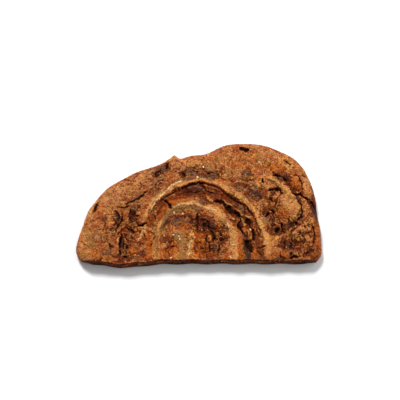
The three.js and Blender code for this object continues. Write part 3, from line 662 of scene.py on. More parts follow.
def crust_tone(points):
    """How light and how tan the crust is, in patches of several sizes. Heights count from the flat top."""
    light = MEAN_TONE + field("broad tone", points) + field("fine tone", points)
    outside = smoothstep(np.hypot(points[:, 0], points[:, 1]), *OUTER_RADII)
    return light, np.clip(MEAN_TAN + OUTER_TAN * outside + field("tan", points), 0, 1)


def steepness(values):
    """How much a value on the grid changes in a millimetre."""
    return np.hypot(*np.gradient(values.reshape(DEEP + 1, ACROSS + 1))).ravel() / GRID_STEP


def line_distance(values):
    """Distance in millimetres from the winding line where a value on the grid is zero."""
    return abs(values) / np.maximum(steepness(values), 1e-4)


def leaves(values, riser):
    """Cuts a smooth value into steps, like torn leaves of dough. Gives the height in steps, and how near a
    place is to the upper lip and to the foot of the next step."""
    level = np.floor(values)
    slope = np.maximum(steepness(values), 0.02)
    to_next = (level + 1 - values) / slope
    from_last = (values - level) / slope
    height = level + 1 - smoothstep(to_next, 0, riser)
    return height, bell(from_last, 1.0), bell(to_next - riser, 1.1)


class Top:
    """The relief and the colour masks of the top, at the flat arrays of places of the plan's grid."""

    # The stain mask holds dark filling and real stains, and also painted shade in hollows, creases, pits,
    # cracks and at the feet of steps.
    MASKS = ("pale", "stain", "slate", "amber", "olive", "pink", "cream", "plum")

    def __init__(self, x, y):
        self.x, self.y = x, y
        self.inside = inside_crust(x, y)
        self.rise = np.sqrt(1 - (1 - np.clip(self.inside / SHOULDER, 0, 1)) ** 2)
        drop = (THICKNESS - RIM_HEIGHT) * (self.rise - 1)
        self.flat = np.stack([x, y, drop], 1)
        self.coil_wise = along_coil(x, y, drop)
        self.mixed = lerp(self.coil_wise, self.flat,
                          1 - SPIRAL_SHARE * smoothstep(np.hypot(x, y), *SPIRAL_RADII)[:, None])
        self.relief = np.zeros(len(x))
        self.masks = {name: np.zeros(len(x)) for name in self.MASKS}
        self.mottle, self.masks["tan"] = crust_tone(self.flat)
        self.warped = shifted(x, y, self.flat, WARPS)
        self.coil()
        self.band()
        self.stains()
        self.patches()
        self.torn_leaves()
        self.wrinkles()
        self.plates()
        self.cracks()
        self.pinholes()

    def show(self, name, strength):
        self.masks[name] = np.maximum(self.masks[name], strength)

    def lower(self, name, strength):
        self.masks[name] = self.masks[name] * (1 - np.clip(strength, 0, 1))

    def part_of(self, zones):
        """How strongly the strongest of some oval zones acts."""
        strongest = np.zeros(len(self.x))
        for *place, strength in zones:
            strongest = np.maximum(strongest, strength / 100 * oval(*self.warped, *place))
        return strongest

    def coil(self):
        shown = LINE_SHOWN + LINE_BROKEN * (0.5 + field("broken ridge", self.coil_wise))
        for line in COIL_LINES.values():
            strength, offset = line_place(line, *self.warped)
            steep = 1 - smoothstep(-offset, 0, line.inner)
            gentle = np.exp(-abs(offset) / line.outer) if line.height > 0 else bell(offset, line.outer)
            self.relief += line.height * strength * np.where(offset < 0, steep, gentle)
            for name, share in (("pale", line.pale), ("stain", line.stain)):
                along = share * strength * bell(offset - line.shift, line.width) * shown
                self.show(name, np.minimum(along, 1))
        for *place, height in DOMES:
            self.relief += height * oval(*self.warped, *place)
        for length_x, length_y, phase, height in SWELLS:
            across = np.sin(2 * np.pi * self.x / length_x + math.radians(phase))
            self.relief += height * across * np.sin(2 * np.pi * self.y / length_y)

    def band(self):
        """The bare layers between the outer ridge and the deep split, with fine lines along the coil."""
        x, y = self.warped
        radius, angle = np.hypot(x, y), heading(x, y)
        band = between(radius, *BAND_RADII) * between(angle, *BAND_ANGLES)
        lines = field("band lines", np.stack([radius, angle * 0.3, 0 * radius], 1))
        self.relief += band * (BAND_LINES * lines - BAND_DEPTH)
        self.mottle += BAND_TONE * band * lines
        self.show("stain", band * (BAND_STAIN - BAND_STAIN_LINES * lines))
        self.whole = np.maximum(np.maximum(band, self.masks["pale"]), self.part_of(WHOLE_ZONES))

    def stains(self):
        patchy = field("patchy stains", lerp(self.coil_wise, self.flat, 0.6))
        for name, places in STAINS.items():
            for at_x, at_y, long, wide, turn, strength in places:
                soft = oval(*self.warped, at_x, at_y, long * STAIN_SPREAD, wide * STAIN_SPREAD, turn)
                ragged = smoothstep(STAIN_BODY * soft + STAIN_BREAKUP * patchy, *STAIN_EDGE)
                self.show(name, strength / 100 * ragged * smoothstep(soft, *STAIN_END))

    def patches(self):
        """Red-brown patches of filling that show through, and how torn the crust is."""
        torn = self.part_of(BROKEN_ZONES) + field("torn", self.flat)
        self.torn = LEAST_TORN + (1 - LEAST_TORN) * smoothstep(torn, *TORN_EDGE)
        for size, strength, seed in PATCHES:
            patch = smoothstep(rough_noise(self.mixed, size, seed, 4, 0.6), *PATCH_EDGE)
            self.mottle -= strength * patch * (0.25 + 0.75 * self.torn)
        for *place, change in BROWNING:
            self.mottle += change / 100 * oval(*self.warped, *place)
        self.mottle += ALL_BROWNING + CUT_EDGE_DARKENING * bell(self.y + CUT_BACK, CUT_EDGE_REACH)
        spots = smoothstep(field("spots", self.mixed), *SPOT_EDGE)
        self.show("stain", SPOT_STRENGTH * spots * self.torn * (1 - self.whole))

    def torn_leaves(self):
        """Leaves of crust that overlap in low steps, most where the crust is dark and broken."""
        for size, steps, height, seed in LEAVES:
            values = steps * rough_noise(self.mixed, size, seed, 3, 0.45)
            present = self.torn * (1 - 0.8 * self.whole)
            present = present * smoothstep(noise(self.flat, 1.5 * size, seed + 9), -0.3, 0.3)
            step, lip, foot = leaves(values, RISER)
            self.relief += height * (present * (step - values) + LEAF_SLOPE * values)
            self.relief += present * (LEAF_LIP * lip - LEAF_FOOT * foot)
            # A painted highlight along each lip and painted shade at the foot of each step.
            self.show("pale", LEAF_LIP_HIGHLIGHT * present * lip)
            self.show("stain", LEAF_FOOT_SHADE * present * foot)
            self.mottle += LEAF_TONE * present * np.where(np.floor(values) % 2 == 0, 1, -1)

    def wrinkles(self):
        near, second = cell_noise(self.mixed, CREASE_SIZE, 62)
        crease = bell((second - near) * CREASE_SIZE, CREASE_WIDTH)
        crease = crease * smoothstep(field("creased", self.flat), -0.2, 0.4)
        rough = 1 - 0.75 * self.whole
        self.relief += rough * self.torn * (field("wrinkles", self.flat) - CREASE_DEPTH * crease)
        # Painted shade darkens the creases.
        self.show("stain", CREASE_SHADE * rough * self.torn * crease)
        self.relief += field("swelling", self.flat) + rough * field("lumps", self.flat)
        self.relief += field("roughness", self.flat)

    def plates(self):
        """Plates and lumps of crust with sharp edges: small ones scattered, then large ones one by one."""
        self.plate_edge = field("plate edge", self.flat) + field("fine plate edge", self.flat)
        self.creased_plate = smoothstep(field("plate crease", self.flat), -0.5, 0.2)
        draw = np.random.default_rng(SEED + 1)
        dark, pale = self.masks["stain"].copy(), self.masks["pale"].copy()
        for _ in range(SCATTERED_PLATES):
            at = draw.integers(len(self.x))
            x, y = self.x[at], self.y[at]
            long = draw.uniform(*PLATE_SIZES)
            wide = long * draw.uniform(*PLATE_SLIMNESS)
            turn = math.degrees(math.atan2(y, x)) + draw.choice([90, -90]) + draw.normal(0, 30)
            mask = PLATE_MASKS[draw.integers(len(PLATE_MASKS))]
            strength = draw.uniform(0.1, 0.45)
            bare = math.dist((x, y), BARE_MIDDLE) < BARE_RADIUS
            if draw.random() < 0.15 + 0.85 * self.torn[at] and self.whole[at] < 0.3 and not bare:
                self.plate(x, y, long, wide, turn, 0.14 * long + 0.3, mask, strength, 1, (-0.9, 0.5))
        for *place, strength in PLATES:
            self.plate(*place, strength / 100, draw.choice([-0.6, 0.6]), (-1.0, -0.1))
        self.show("pale", 0.9 * pale * self.whole)
        self.show("stain", 0.95 * dark * smoothstep(self.whole, 0.3, 0.6))

    def plate(self, at_x, at_y, long, wide, turn, height, mask, strength, lean, free):
        """One plate, whose one edge, seen along its length, is sharp while the other runs out. The lean says
        which and how fast, and free says between which places across it comes out of the crust."""
        along, across = along_and_across(self.x, self.y, at_x, at_y, turn)
        reach = np.hypot(along / long, across / wide) + self.plate_edge * min(1, 6 / wide)
        to_edge = (1 - reach) * wide
        raised = smoothstep(lean * across / wide, *free)
        inside = smoothstep(to_edge, -0.5, 0.7)
        # Outside the sharp edge the crease gets a painted shadow, and inside it the rim a painted highlight.
        crease = raised * bell(to_edge + 1.0, PLATE_EDGE_WIDTH) * self.creased_plate
        rim = raised * bell(to_edge - 1.3, PLATE_EDGE_WIDTH)
        domed = 0.75 + 0.25 * np.clip(1 - reach**2, 0, 1)
        self.relief += height * inside * raised * domed - PLATE_CREASE * crease
        self.mottle = lerp(self.mottle, PLATE_TONE, 0.4 * inside * raised) + PLATE_RIM_HIGHLIGHT * rim
        for name in ("stain", "slate", "pale"):
            self.lower(name, 0.6 * inside * raised)
        self.show(mask, strength * inside * (0.4 + 0.6 * raised))
        self.show("stain", PLATE_EDGE_SHADOW * crease)

    def cracks(self):
        jagged = shifted(self.x, self.y, self.flat, JAGS)
        swell = np.clip(0.9 + field("crack width", self.flat), 0.25, 2)
        for width, *points in LIPS:
            distance, end = line_through(points, *jagged)
            lip = bell(distance / (width * swell * np.sqrt(1.05 - end**4)), 1)
            self.relief += LIP_HEIGHT * lip
            self.lower("stain", lip)
            self.lower("slate", lip)
            # Lips are paler: pale crust with a painted highlight along their crests.
            self.show("pale", LIP_PALE_AND_HIGHLIGHT * lip)
        for name, *streaks in STREAKS:
            for width, strength, *points in streaks:
                distance, end = line_through(points, *jagged)
                reach = width * swell**0.5 * np.sqrt(1.05 - end**4)
                streak = strength / 100 * (1 - smoothstep(distance / reach, 0.5, 1.2))
                for other in self.MASKS:
                    self.lower(other, streak)
                self.show(name, streak)
        for size, seed in WINDING_CRACKS:
            winding = rough_noise(self.mixed, size, seed, 3)
            present = smoothstep(noise(self.flat, 11, seed + 4), -0.1, 0.4)
            present = present * (0.12 + 0.65 * self.torn) * (1 - 0.6 * self.whole)
            self.open_crack(line_distance(winding), WINDING_WIDTH, WINDING_DEPTH, present)
        for lines, wider, depth, full in (
            (CRACKS, CRACK_WIDTH, CRACK_DEPTH, FULL_CRACK), (SPLITS, SPLIT_WIDTH, SPLIT_DEPTH, FULL_SPLIT)
        ):
            for width, *points in lines:
                distance, end = line_through(points, *jagged)
                opening = wider * width * np.sqrt(swell * (1.05 - end**4))
                self.open_crack(distance, opening, depth, min(1, width / full))

    def open_crack(self, distance, width, depth, strength):
        """A dark crack, dark filling with painted shade of its depth, and slightly raised lips with a painted
        highlight.
        """
        opened = strength * (1 - smoothstep(distance / width, 0.35, 1.25))
        lip = bell(distance / width - OPEN_LIP_AT, OPEN_LIP_WIDTH) * strength
        self.relief += OPEN_LIP * depth**0.5 * lip - depth * opened
        self.mottle += OPEN_LIP_HIGHLIGHT * lip
        self.lower("pale", opened)
        self.show("stain", np.maximum(opened, 0.28 * strength * bell(distance - width, 2)))

    def pinholes(self):
        for size, width, depth, share, seed in PINHOLES:
            near, _ = cell_noise(self.flat, size, seed)
            present = smoothstep(noise(self.flat, 10, seed + 2), -0.2, 0.2) * (1 - 0.6 * self.whole)
            pinhole = bell(near * size, width) * present
            self.relief -= depth * pinhole
            # The pits get painted shade.
            self.show("stain", share * pinhole)

    def surface(self):
        """The height of the top and its masks. Hollows get painted shade and raised edges a painted
        highlight.
        """
        z = RIM_HEIGHT + (THICKNESS + self.relief - RIM_HEIGHT) * self.rise
        height = z.reshape(DEEP + 1, ACROSS + 1)
        above = {reach: (height - blurred(height, reach)).ravel() for reach, _ in HOLLOWS}
        hollow = sum(np.clip(-above[reach] / depth, 0, 1) for reach, depth in HOLLOWS)
        raised = sum(share * np.clip(above[reach] / rise, 0, 1) for reach, rise, share in RISES)
        level = smoothstep(self.inside, 2, 10)
        self.show("stain", level * np.clip(HOLLOW_SHADE * hollow - HOLLOW_LEAST, 0, HOLLOW_MOST))
        paler = RISE_HIGHLIGHT * (1 - 0.5 * self.torn) * level * raised
        self.masks["mottle"] = np.clip(self.mottle + paler, 0, 1.2)
        return z, self.masks


def blurred(values, reach):
    """A grid of values, each replaced by a soft mean of those within reach steps."""
    weights = bell(np.arange(-reach, reach + 1), reach / 1.8)
    weights /= weights.sum()
    for axis in (0, 1):
        padded = np.pad(values, [(reach, reach) if a == axis else (0, 0) for a in (0, 1)], mode="edge")
        moved = [np.take(padded, range(k, k + values.shape[axis]), axis) for k in range(2 * reach + 1)]
        values = sum(w * m for w, m in zip(weights, moved))
    return values


# The sides


def crust_wall(points, share):
    """Points of the round crust below its border points, curling in towards the middle of the cut."""
    x, y, z = points.T
    angle = np.radians(heading(x - PIVOT_X, y + CUT_BACK))
    curl = math.radians(90 * share)
    inset = UNDERCUT * (1 - math.cos(curl))
    return np.stack([x - inset * np.cos(angle), y - inset * np.sin(angle), z * (1 - math.sin(curl))], 1)


def crust_share(x, y):
    """One at the round crust, zero where the shoulder ends."""
    return 1 - np.clip(inside_crust(x, y) / SHOULDER, 0, 1)


def cut_wall(points, share):
    """Points of the cut face below its border points. Near the two corners it runs into the round crust."""
    x, y, z = points.T
    crust = crust_share(x, y)
    curl = math.radians(90 * share)
    inset = crust * UNDERCUT * (1 - math.cos(curl))
    angle = np.radians(heading(x - PIVOT_X, y + CUT_BACK))
    height = z * lerp(1 - share, 1 - math.sin(curl), crust)
    left, right = crust_point(180)[0], crust_point(0)[0]
    even = -CUT_BACK - off_corners((x - left) / (right - left)) * cut_swing(x)
    front = lerp(y, even, smoothstep(share, 0, 0.25)) - (1 - crust) * CUT_FLARE * share
    return np.stack([x - inset * np.cos(angle), front - inset * np.sin(angle), height], 1)


def cut_layers(points):
    """The layers of dough over the cut face. Each turn of the coil has its own, one round the other. Gives
    two random values for the layer that a point lies in, and how near the point is to a gap between two."""
    ends = np.array(TURN_ENDS, float)
    turn = np.clip(np.searchsorted(ends, points[:, 0]) - 1, 0, len(ends) - 2)
    across = (2 * points[:, 0] - ends[turn] - ends[turn + 1]) / (ends[turn + 1] - ends[turn])
    up = 2 * points[:, 2] / THICKNESS - 1 + 0.25 * np.sin(turn * 2.0)
    drawn_out = points * [0.4, 1, 1]
    count = LAYERS_IN_TURN * (abs(across) ** 3 + abs(up) ** 2.2) ** (1 / 2.6)
    count += np.arctan2(up, across) / (2 * np.pi)
    count += 0.37 * turn + field("layer waves", drawn_out) + field("layer edges", points)
    layer = np.floor(count).astype(int)
    chance = SCATTER[(layer * 37 + turn * 211) % len(SCATTER)]
    gap = bell(count - np.round(count), 0.1 + 0.12 * chance[:, 2])
    return chance[:, 0], chance[:, 1], gap * smoothstep(field("layer gaps", drawn_out), -0.35, 0.2)


def cut_row(border, share):
    """One row of points down the cut face, with its masks."""
    points = cut_wall(border, share)
    light, baked, gap = cut_layers(points)
    inside = 1 - abs(2 * share - 1) ** 6
    deep = inside * (GAP_DEPTH * gap + LAYER_RELIEF * (light - 0.5) + field("cut relief", points))
    points[:, 1] += deep * (1 - crust_share(points[:, 0], points[:, 1]))
    if share == 1:
        points[:, 2] = 0
    skin = bell(share, SKIN_TOP) + bell(1 - share, SKIN_FOOT)
    tone = 0.3 + 0.35 * light + field("cut tone", points) - 0.3 * skin
    # The cut face is dark all over: dark filling between the layers, deepened with painted shade.
    dark = 0.28 + 0.42 * baked + field("cut filling", points * [0.5, 1, 1])
    dark = np.maximum(dark, 0.6 * skin) + gap
    return points, dict(mottle=np.clip(tone, 0, 1), stain=np.clip(dark, 0, 1), **CUT_MASKS)


def crust_row(border, share):
    """One row of points down the round crust, with its masks."""
    points = crust_wall(border, share)
    light, tan = crust_tone(points - [0, 0, THICKNESS])
    dark = 0.6 * smoothstep(field("side stains", points), 0.15, 0.6) + 0.3 * share**3
    seam = bell(points[:, 2] - SEAM_HEIGHT - field("seam height", points), SEAM_WIDTH)
    seam *= smoothstep(field("seam", points), 0.1, 0.3)
    return points, dict(
        mottle=np.clip(light - 0.12 * share, 0, 1), stain=np.clip(dark + 0.7 * seam, 0, 1), tan=tan)


# Meshes


class Builder:
    """Collects points, faces and one value of each mask for each point."""

    MASKS = ("mottle", "tan") + Top.MASKS

    def __init__(self):
        self.points, self.faces, self.masks, self.count = [], [], {name: [] for name in self.MASKS}, 0

    def add(self, points, **masks):
        """Adds points, and returns the index of each."""
        first = self.count
        self.points.append(points)
        self.count += len(points)
        for name in self.MASKS:
            self.masks[name].append(np.broadcast_to(masks.get(name, 0.0), len(points)))
        return np.arange(first, self.count)

    def quads(self, *corners):
        self.faces += np.stack([corner.ravel() for corner in corners], 1).tolist()

    def fan(self, middle, ring, after):
        self.faces += [[int(middle), int(p), int(q)] for p, q in zip(ring, after)]

    def object(self, name, material, grain=None):
        points = np.concatenate(self.points)
        if grain is not None:
            points = points + grain(points, vertex_normals(points, self.faces))
        mesh = bpy.data.meshes.new(name)
        mesh.from_pydata((points * MM).tolist(), [], self.faces)
        for mask, parts in self.masks.items():
            attribute = mesh.attributes.new(mask, "FLOAT", "POINT")
            attribute.data.foreach_set("value", np.concatenate(parts).astype(np.float32))
        mesh.shade_smooth()
        mesh.materials.append(material)
        made = bpy.data.objects.new(name, mesh)
        bpy.context.scene.collection.objects.link(made)
        return made


def vertex_normals(points, faces):
    """Outward directions at points, from the faces round them."""
    normals = np.zeros_like(points)
    for corners in {len(face) for face in faces}:
        some = np.array([face for face in faces if len(face) == corners])
        a, b, c = (points[some[:, k]] for k in (0, 1, corners - 1))
        across = np.cross(b - a, c - a)
        for k in range(corners):
            np.add.at(normals, some[:, k], across)
    return normals / np.maximum(np.linalg.norm(normals, axis=1, keepdims=True), 1e-9)


def make_seeds(material, loaf):
    """Sesame seeds, round at one end and pointed at the other, each lying half sunk in the crust."""
    draw = np.random.default_rng(SEED + 2)
    tops = np.array([corner.co for corner in loaf.data.vertices]) / MM
    long, wide, thick = SEED_SIZE
    along, around = np.meshgrid(
        np.linspace(0, np.pi, SEED_RINGS + 1)[1:-1], np.arange(SEED_SIDES) * 2 * np.pi / SEED_SIDES)
    girth = np.sin(along) * (1 - SEED_TAPER * np.cos(along))
    shape = [-long * np.cos(along), wide * girth * np.cos(around), thick * girth * np.sin(around)]
    shape = np.stack(shape, -1) / 2
    shape = np.concatenate([shape.reshape(-1, 3), [[-long / 2, 0, 0], [long / 2, 0, 0]]])
    seeds = Builder()
    for x, y in SEEDS:
        nearest = tops[np.argmin(np.hypot(tops[:, 0] - x, tops[:, 1] - y) - 0.01 * tops[:, 2])]
        turn = Matrix.Rotation(draw.uniform(0, 2 * math.pi), 3, "Z") @ Matrix.Rotation(
            draw.normal(0, SEED_TILT), 3, "Y")
        points = shape * draw.uniform(*SEED_SCALES) @ np.array(turn).T + [x, y, nearest[2] + SEED_LIFT]
        index = seeds.add(points)
        body, first, last = index[:-2].reshape(SEED_SIDES, SEED_RINGS - 1), index[-2], index[-1]
        beside = np.roll(body, -1, axis=0)
        for ring in range(SEED_RINGS - 2):
            seeds.quads(body[:, ring], body[:, ring + 1], beside[:, ring + 1], beside[:, ring])
        seeds.fan(first, body[:, 0], beside[:, 0])
        seeds.fan(last, beside[:, -1], body[:, -1])
    return seeds.object("sesame_seeds", material)


def grain(points, normals):
    """Fine roughness along the surface's own normal. The underside stays flat."""
    side = 1 - np.clip(normals[:, 2], 0, 1)
    amount = field("grain", points) + side * (field("side lumps", points) + field("side roughness", points))
    return normals * (amount * smoothstep(points[:, 2], *FLAT_FOOT))[:, None]


def make_loaf(material):
    loaf = Builder()
    plan = plan_grid()
    x, y = plan[..., 0].ravel(), plan[..., 1].ravel()
    z, masks = Top(x, y).surface()
    top = np.stack([x, y, z], 1)
    grid = loaf.add(top, **masks).reshape(DEEP + 1, ACROSS + 1)

    a, b, c, d = (part.ravel() for part in (grid[:-1, :-1], grid[:-1, 1:], grid[1:, 1:], grid[1:, :-1]))
    along_ac = abs(z[a] - z[c]) <= abs(z[b] - z[d])
    first = np.where(along_ac, [a, b, c], [a, b, d]).T
    second = np.where(along_ac, [a, c, d], [b, c, d]).T
    loaf.faces += first.tolist() + second.tolist()

    cut_rows = [grid[0]]
    for row in range(1, CUT_ROWS + 1):
        points, masks = cut_row(top[grid[0]], row / CUT_ROWS)
        cut_rows.append(loaf.add(points, **masks))
    cut_rows = np.array(cut_rows)

    border = np.concatenate([grid[:, -1], grid[-1, -2::-1], grid[-2::-1, 0]])
    step = CUT_ROWS // CRUST_ROWS
    crust_rows = [border]
    for row in range(1, CRUST_ROWS + 1):
        points, masks = crust_row(top[border[1:-1]], row / CRUST_ROWS)
        made = loaf.add(points, **masks)
        crust_rows.append(np.concatenate([[cut_rows[row * step, -1]], made, [cut_rows[row * step, 0]]]))

    for upper, lower in zip(cut_rows, cut_rows[1:]):
        loaf.quads(lower[:-1], lower[1:], upper[1:], upper[:-1])
    for row, (upper, lower) in enumerate(zip(crust_rows, crust_rows[1:])):
        quads = np.stack([lower[1:-2], lower[2:-1], upper[2:-1], upper[1:-2]], 1).tolist()
        right, left = cut_rows[row * step : (row + 1) * step + 1, [-1, 0]].T
        at_right, at_left = [lower[1], upper[1], *right], [upper[-2], lower[-2], *left[::-1]]
        loaf.faces += [[int(index) for index in face] for face in (at_right, *quads, at_left)]

    ring = np.concatenate([cut_rows[-1], crust_rows[-1][1:-1]])
    centre = np.array([[PIVOT_X, DISC_RADIUS / 3, 0]])
    inner = loaf.add(lerp(np.concatenate(loaf.points)[ring], centre, RING_INSET), **UNDERSIDE_MASKS)
    middle = loaf.add(centre, **UNDERSIDE_MASKS)[0]
    after, inner_after = np.roll(ring, -1), np.roll(inner, -1)
    loaf.quads(ring, inner, inner_after, after)
    loaf.fan(middle, inner_after, inner)
    return loaf.object("baked_half", material, grain)


# Materials


def linear(red, green, blue):
    """A colour given as it shows on a screen, from 0 to 255, as the shader's linear colour."""
    values = [v / 255 for v in (red, green, blue)]
    return [v / 12.92 if v <= 0.04045 else ((v + 0.055) / 1.055) ** 2.4 for v in values] + [1.0]


DARK_CRUST, MID_CRUST, LIGHT_CRUST = linear(92, 30, 8), linear(176, 90, 28), linear(232, 156, 80)
TAN, TAN_SHARE = linear(184, 120, 66), 0.5
# Pale specks painted as small glints.
GLINT_SPECK_COLOUR = linear(226, 160, 100)
HUES = [  # size of the patches, where they start and are full, share, colour
    (19, 0.5, 0.56, 0.42, linear(176, 84, 20)),
    (14, 0.5, 0.56, 0.36, linear(134, 96, 62)),
    (9, 0.53, 0.57, 0.55, linear(128, 54, 24)),
    (5, 0.54, 0.58, 0.45, linear(206, 146, 96)),
]
# Colours of the masks, below and above the specks: mask, how much of it and of the ragged noise counts, and
# for each colour where it starts and is full, its share and the colour
LOW_COLOURS = [
    ("amber", 1, 1, [(0.15, 0.7, 0.7, linear(174, 84, 16))]),
    ("olive", 1, 1, [(0.15, 0.7, 0.75, linear(147, 105, 57))]),
    ("pale", 1, 1, [(0.15, 0.7, 0.72, linear(210, 148, 84))]),
    ("pink", 1, 1, [(0.15, 0.7, 0.6, linear(200, 132, 80))]),
    # The palest colour marks pale edges of crust with a painted highlight along them.
    ("cream", 1, 1, [(0.15, 0.7, 0.8, linear(228, 188, 132))]),
]
HIGH_COLOURS = [
    ("slate", 0.95, 1, [(0.1, 0.45, 0.58, linear(108, 78, 56)), (0.42, 0.8, 0.95, linear(62, 46, 38))]),
    ("plum", 1, 1, [(0.4, 0.75, 0.96, linear(66, 30, 22))]),
    # The near-black end of this colour is painted shade deep in the splits and cracks.
    ("stain", 1, 0.7, [(0.1, 0.5, 0.84, linear(94, 31, 9)), (0.5, 0.95, 0.95, linear(24, 8, 2))]),
]
OLIVE_TINT, PINK_TINT = [0.98, 1.06, 0.94, 1], [1.02, 0.95, 1.0, 1]
LIGHT_SEED, DARK_SEED = linear(240, 212, 166), linear(198, 152, 100)
FLOOR_COLOUR = (0.93, 0.93, 0.93, 1)

# Noise of the crust's colours: size in millimetres, detail, roughness
FINE, SANDY, BLOTCH = (1.4, 2, 0.5), (2.1, 3, 0.6), (4, 5, 0.7)
FINE_TONE, SANDY_TONE, BLOTCH_TONE, PLATE_SHADE = 1.2, 0.9, 0.6, 0.56
RAGGED, RAGGED_REACH = (2.2, 4, 0.75), 1.1
SPECKLE, GLINT_SPECKS, DRIFT, CRACKED = (2.2, 2, 0.6), (2.3, 1, 0.5), (10, 3, 0.6), (8, 2, 0.5)
TINTED, GLOSSY, TOASTED = (9, 5, 0.65), (6, 3, 0.6), (2.5, 2, 0.5)
SMALL_PLATES, PLATE_WANDER, PLATE_WANDER_SIZE = 3.4, 1.1, 2.5


class Nodes:
    """A material's node tree, with short calls for the nodes used here."""

    def __init__(self, name):
        self.material = bpy.data.materials.new(name)
        self.material.use_nodes = True
        self.tree = self.material.node_tree
        self.shader = next(n for n in self.tree.nodes if n.type == "BSDF_PRINCIPLED")
        self.place = self.tree.nodes.new("ShaderNodeTexCoord").outputs["Object"]

    def feed(self, socket, value):
        """Gives a socket a value, or links another node's output to it."""
        if isinstance(value, bpy.types.NodeSocket):
            self.tree.links.new(value, socket)
        else:
            socket.default_value = value

    def node(self, kind, inputs, **settings):
        made = self.tree.nodes.new("ShaderNode" + kind)
        for name, setting in settings.items():
            setattr(made, name, setting)
        for name, value in inputs.items():
            self.feed(made.inputs[name], value)
        return made

    def surface(self, **inputs):
        """Feeds the shader, with underscores for the spaces in the names of its inputs."""
        for name, value in inputs.items():
            self.feed(self.shader.inputs[name.replace("_", " ")], value)

    def attribute(self, name):
        return self.node("Attribute", {}, attribute_name=name).outputs["Fac"]

    def noise(self, size, detail, roughness):
        """Noise with lumps as wide as size in millimetres."""
        inputs = {"Scale": 1 / (size * MM), "Detail": detail, "Roughness": roughness, "Vector": self.place}
        return self.node("TexNoise", inputs).outputs["Fac"]

    def plates(self, size, wander, wander_size):
        """Small plates of crust: a random value for each, and how far a place is from a gap between them."""
        shift = self.node("TexNoise", {"Scale": 1 / (wander_size * MM), "Vector": self.place})
        inputs = {0: shift.outputs["Color"], 1: (wander * MM,) * 3, 2: self.place}
        moved = self.node("VectorMath", inputs, operation="MULTIPLY_ADD").outputs[0]
        inputs = {"Scale": 1 / (size * MM), "Vector": moved}
        chance = self.node("TexVoronoi", inputs, feature="F1").outputs["Color"]
        gap = self.node("TexVoronoi", inputs, feature="DISTANCE_TO_EDGE").outputs["Distance"]
        return self.node("SeparateColor", {0: chance}).outputs[0], gap

    def spread(self, value, low, high, to_low=0.0, to_high=1.0):
        inputs = {"Value": value, "From Min": low, "From Max": high, "To Min": to_low, "To Max": to_high}
        return self.node("MapRange", inputs, interpolation_type="SMOOTHSTEP").outputs["Result"]

    def maths(self, operation, first, second):
        return self.node("Math", {0: first, 1: second}, operation=operation).outputs[0]

    def times(self, first, second):
        return self.maths("MULTIPLY", first, second)

    def plus(self, first, second):
        return self.maths("ADD", first, second)

    def minus(self, first, second):
        return self.maths("SUBTRACT", first, second)

    def mix(self, factor, first, second, blend="MIX"):
        node = self.node("Mix", {}, data_type="RGBA", blend_type=blend)
        for socket, value in zip([s for s in node.inputs if s.enabled], (factor, first, second)):
            self.feed(socket, value)
        return next(s for s in node.outputs if s.enabled)

    def bump(self, height, distance, strength, **normal):
        inputs = {"Distance": distance * MM, "Strength": strength, "Height": height, **normal}
        return self.node("Bump", inputs).outputs["Normal"]

    def lay(self, colour, layers, ragged):
        """Lays some masks' colours over a colour, each with a ragged edge. Gives the last mask's edge too."""
        for mask, share, jag, steps in layers:
            edge = self.plus(self.times(self.attribute(mask), share), self.times(ragged, jag))
            for start, full, most, hue in steps:
                colour = self.mix(self.times(self.spread(edge, start, full), most), colour, hue)
        return colour, edge


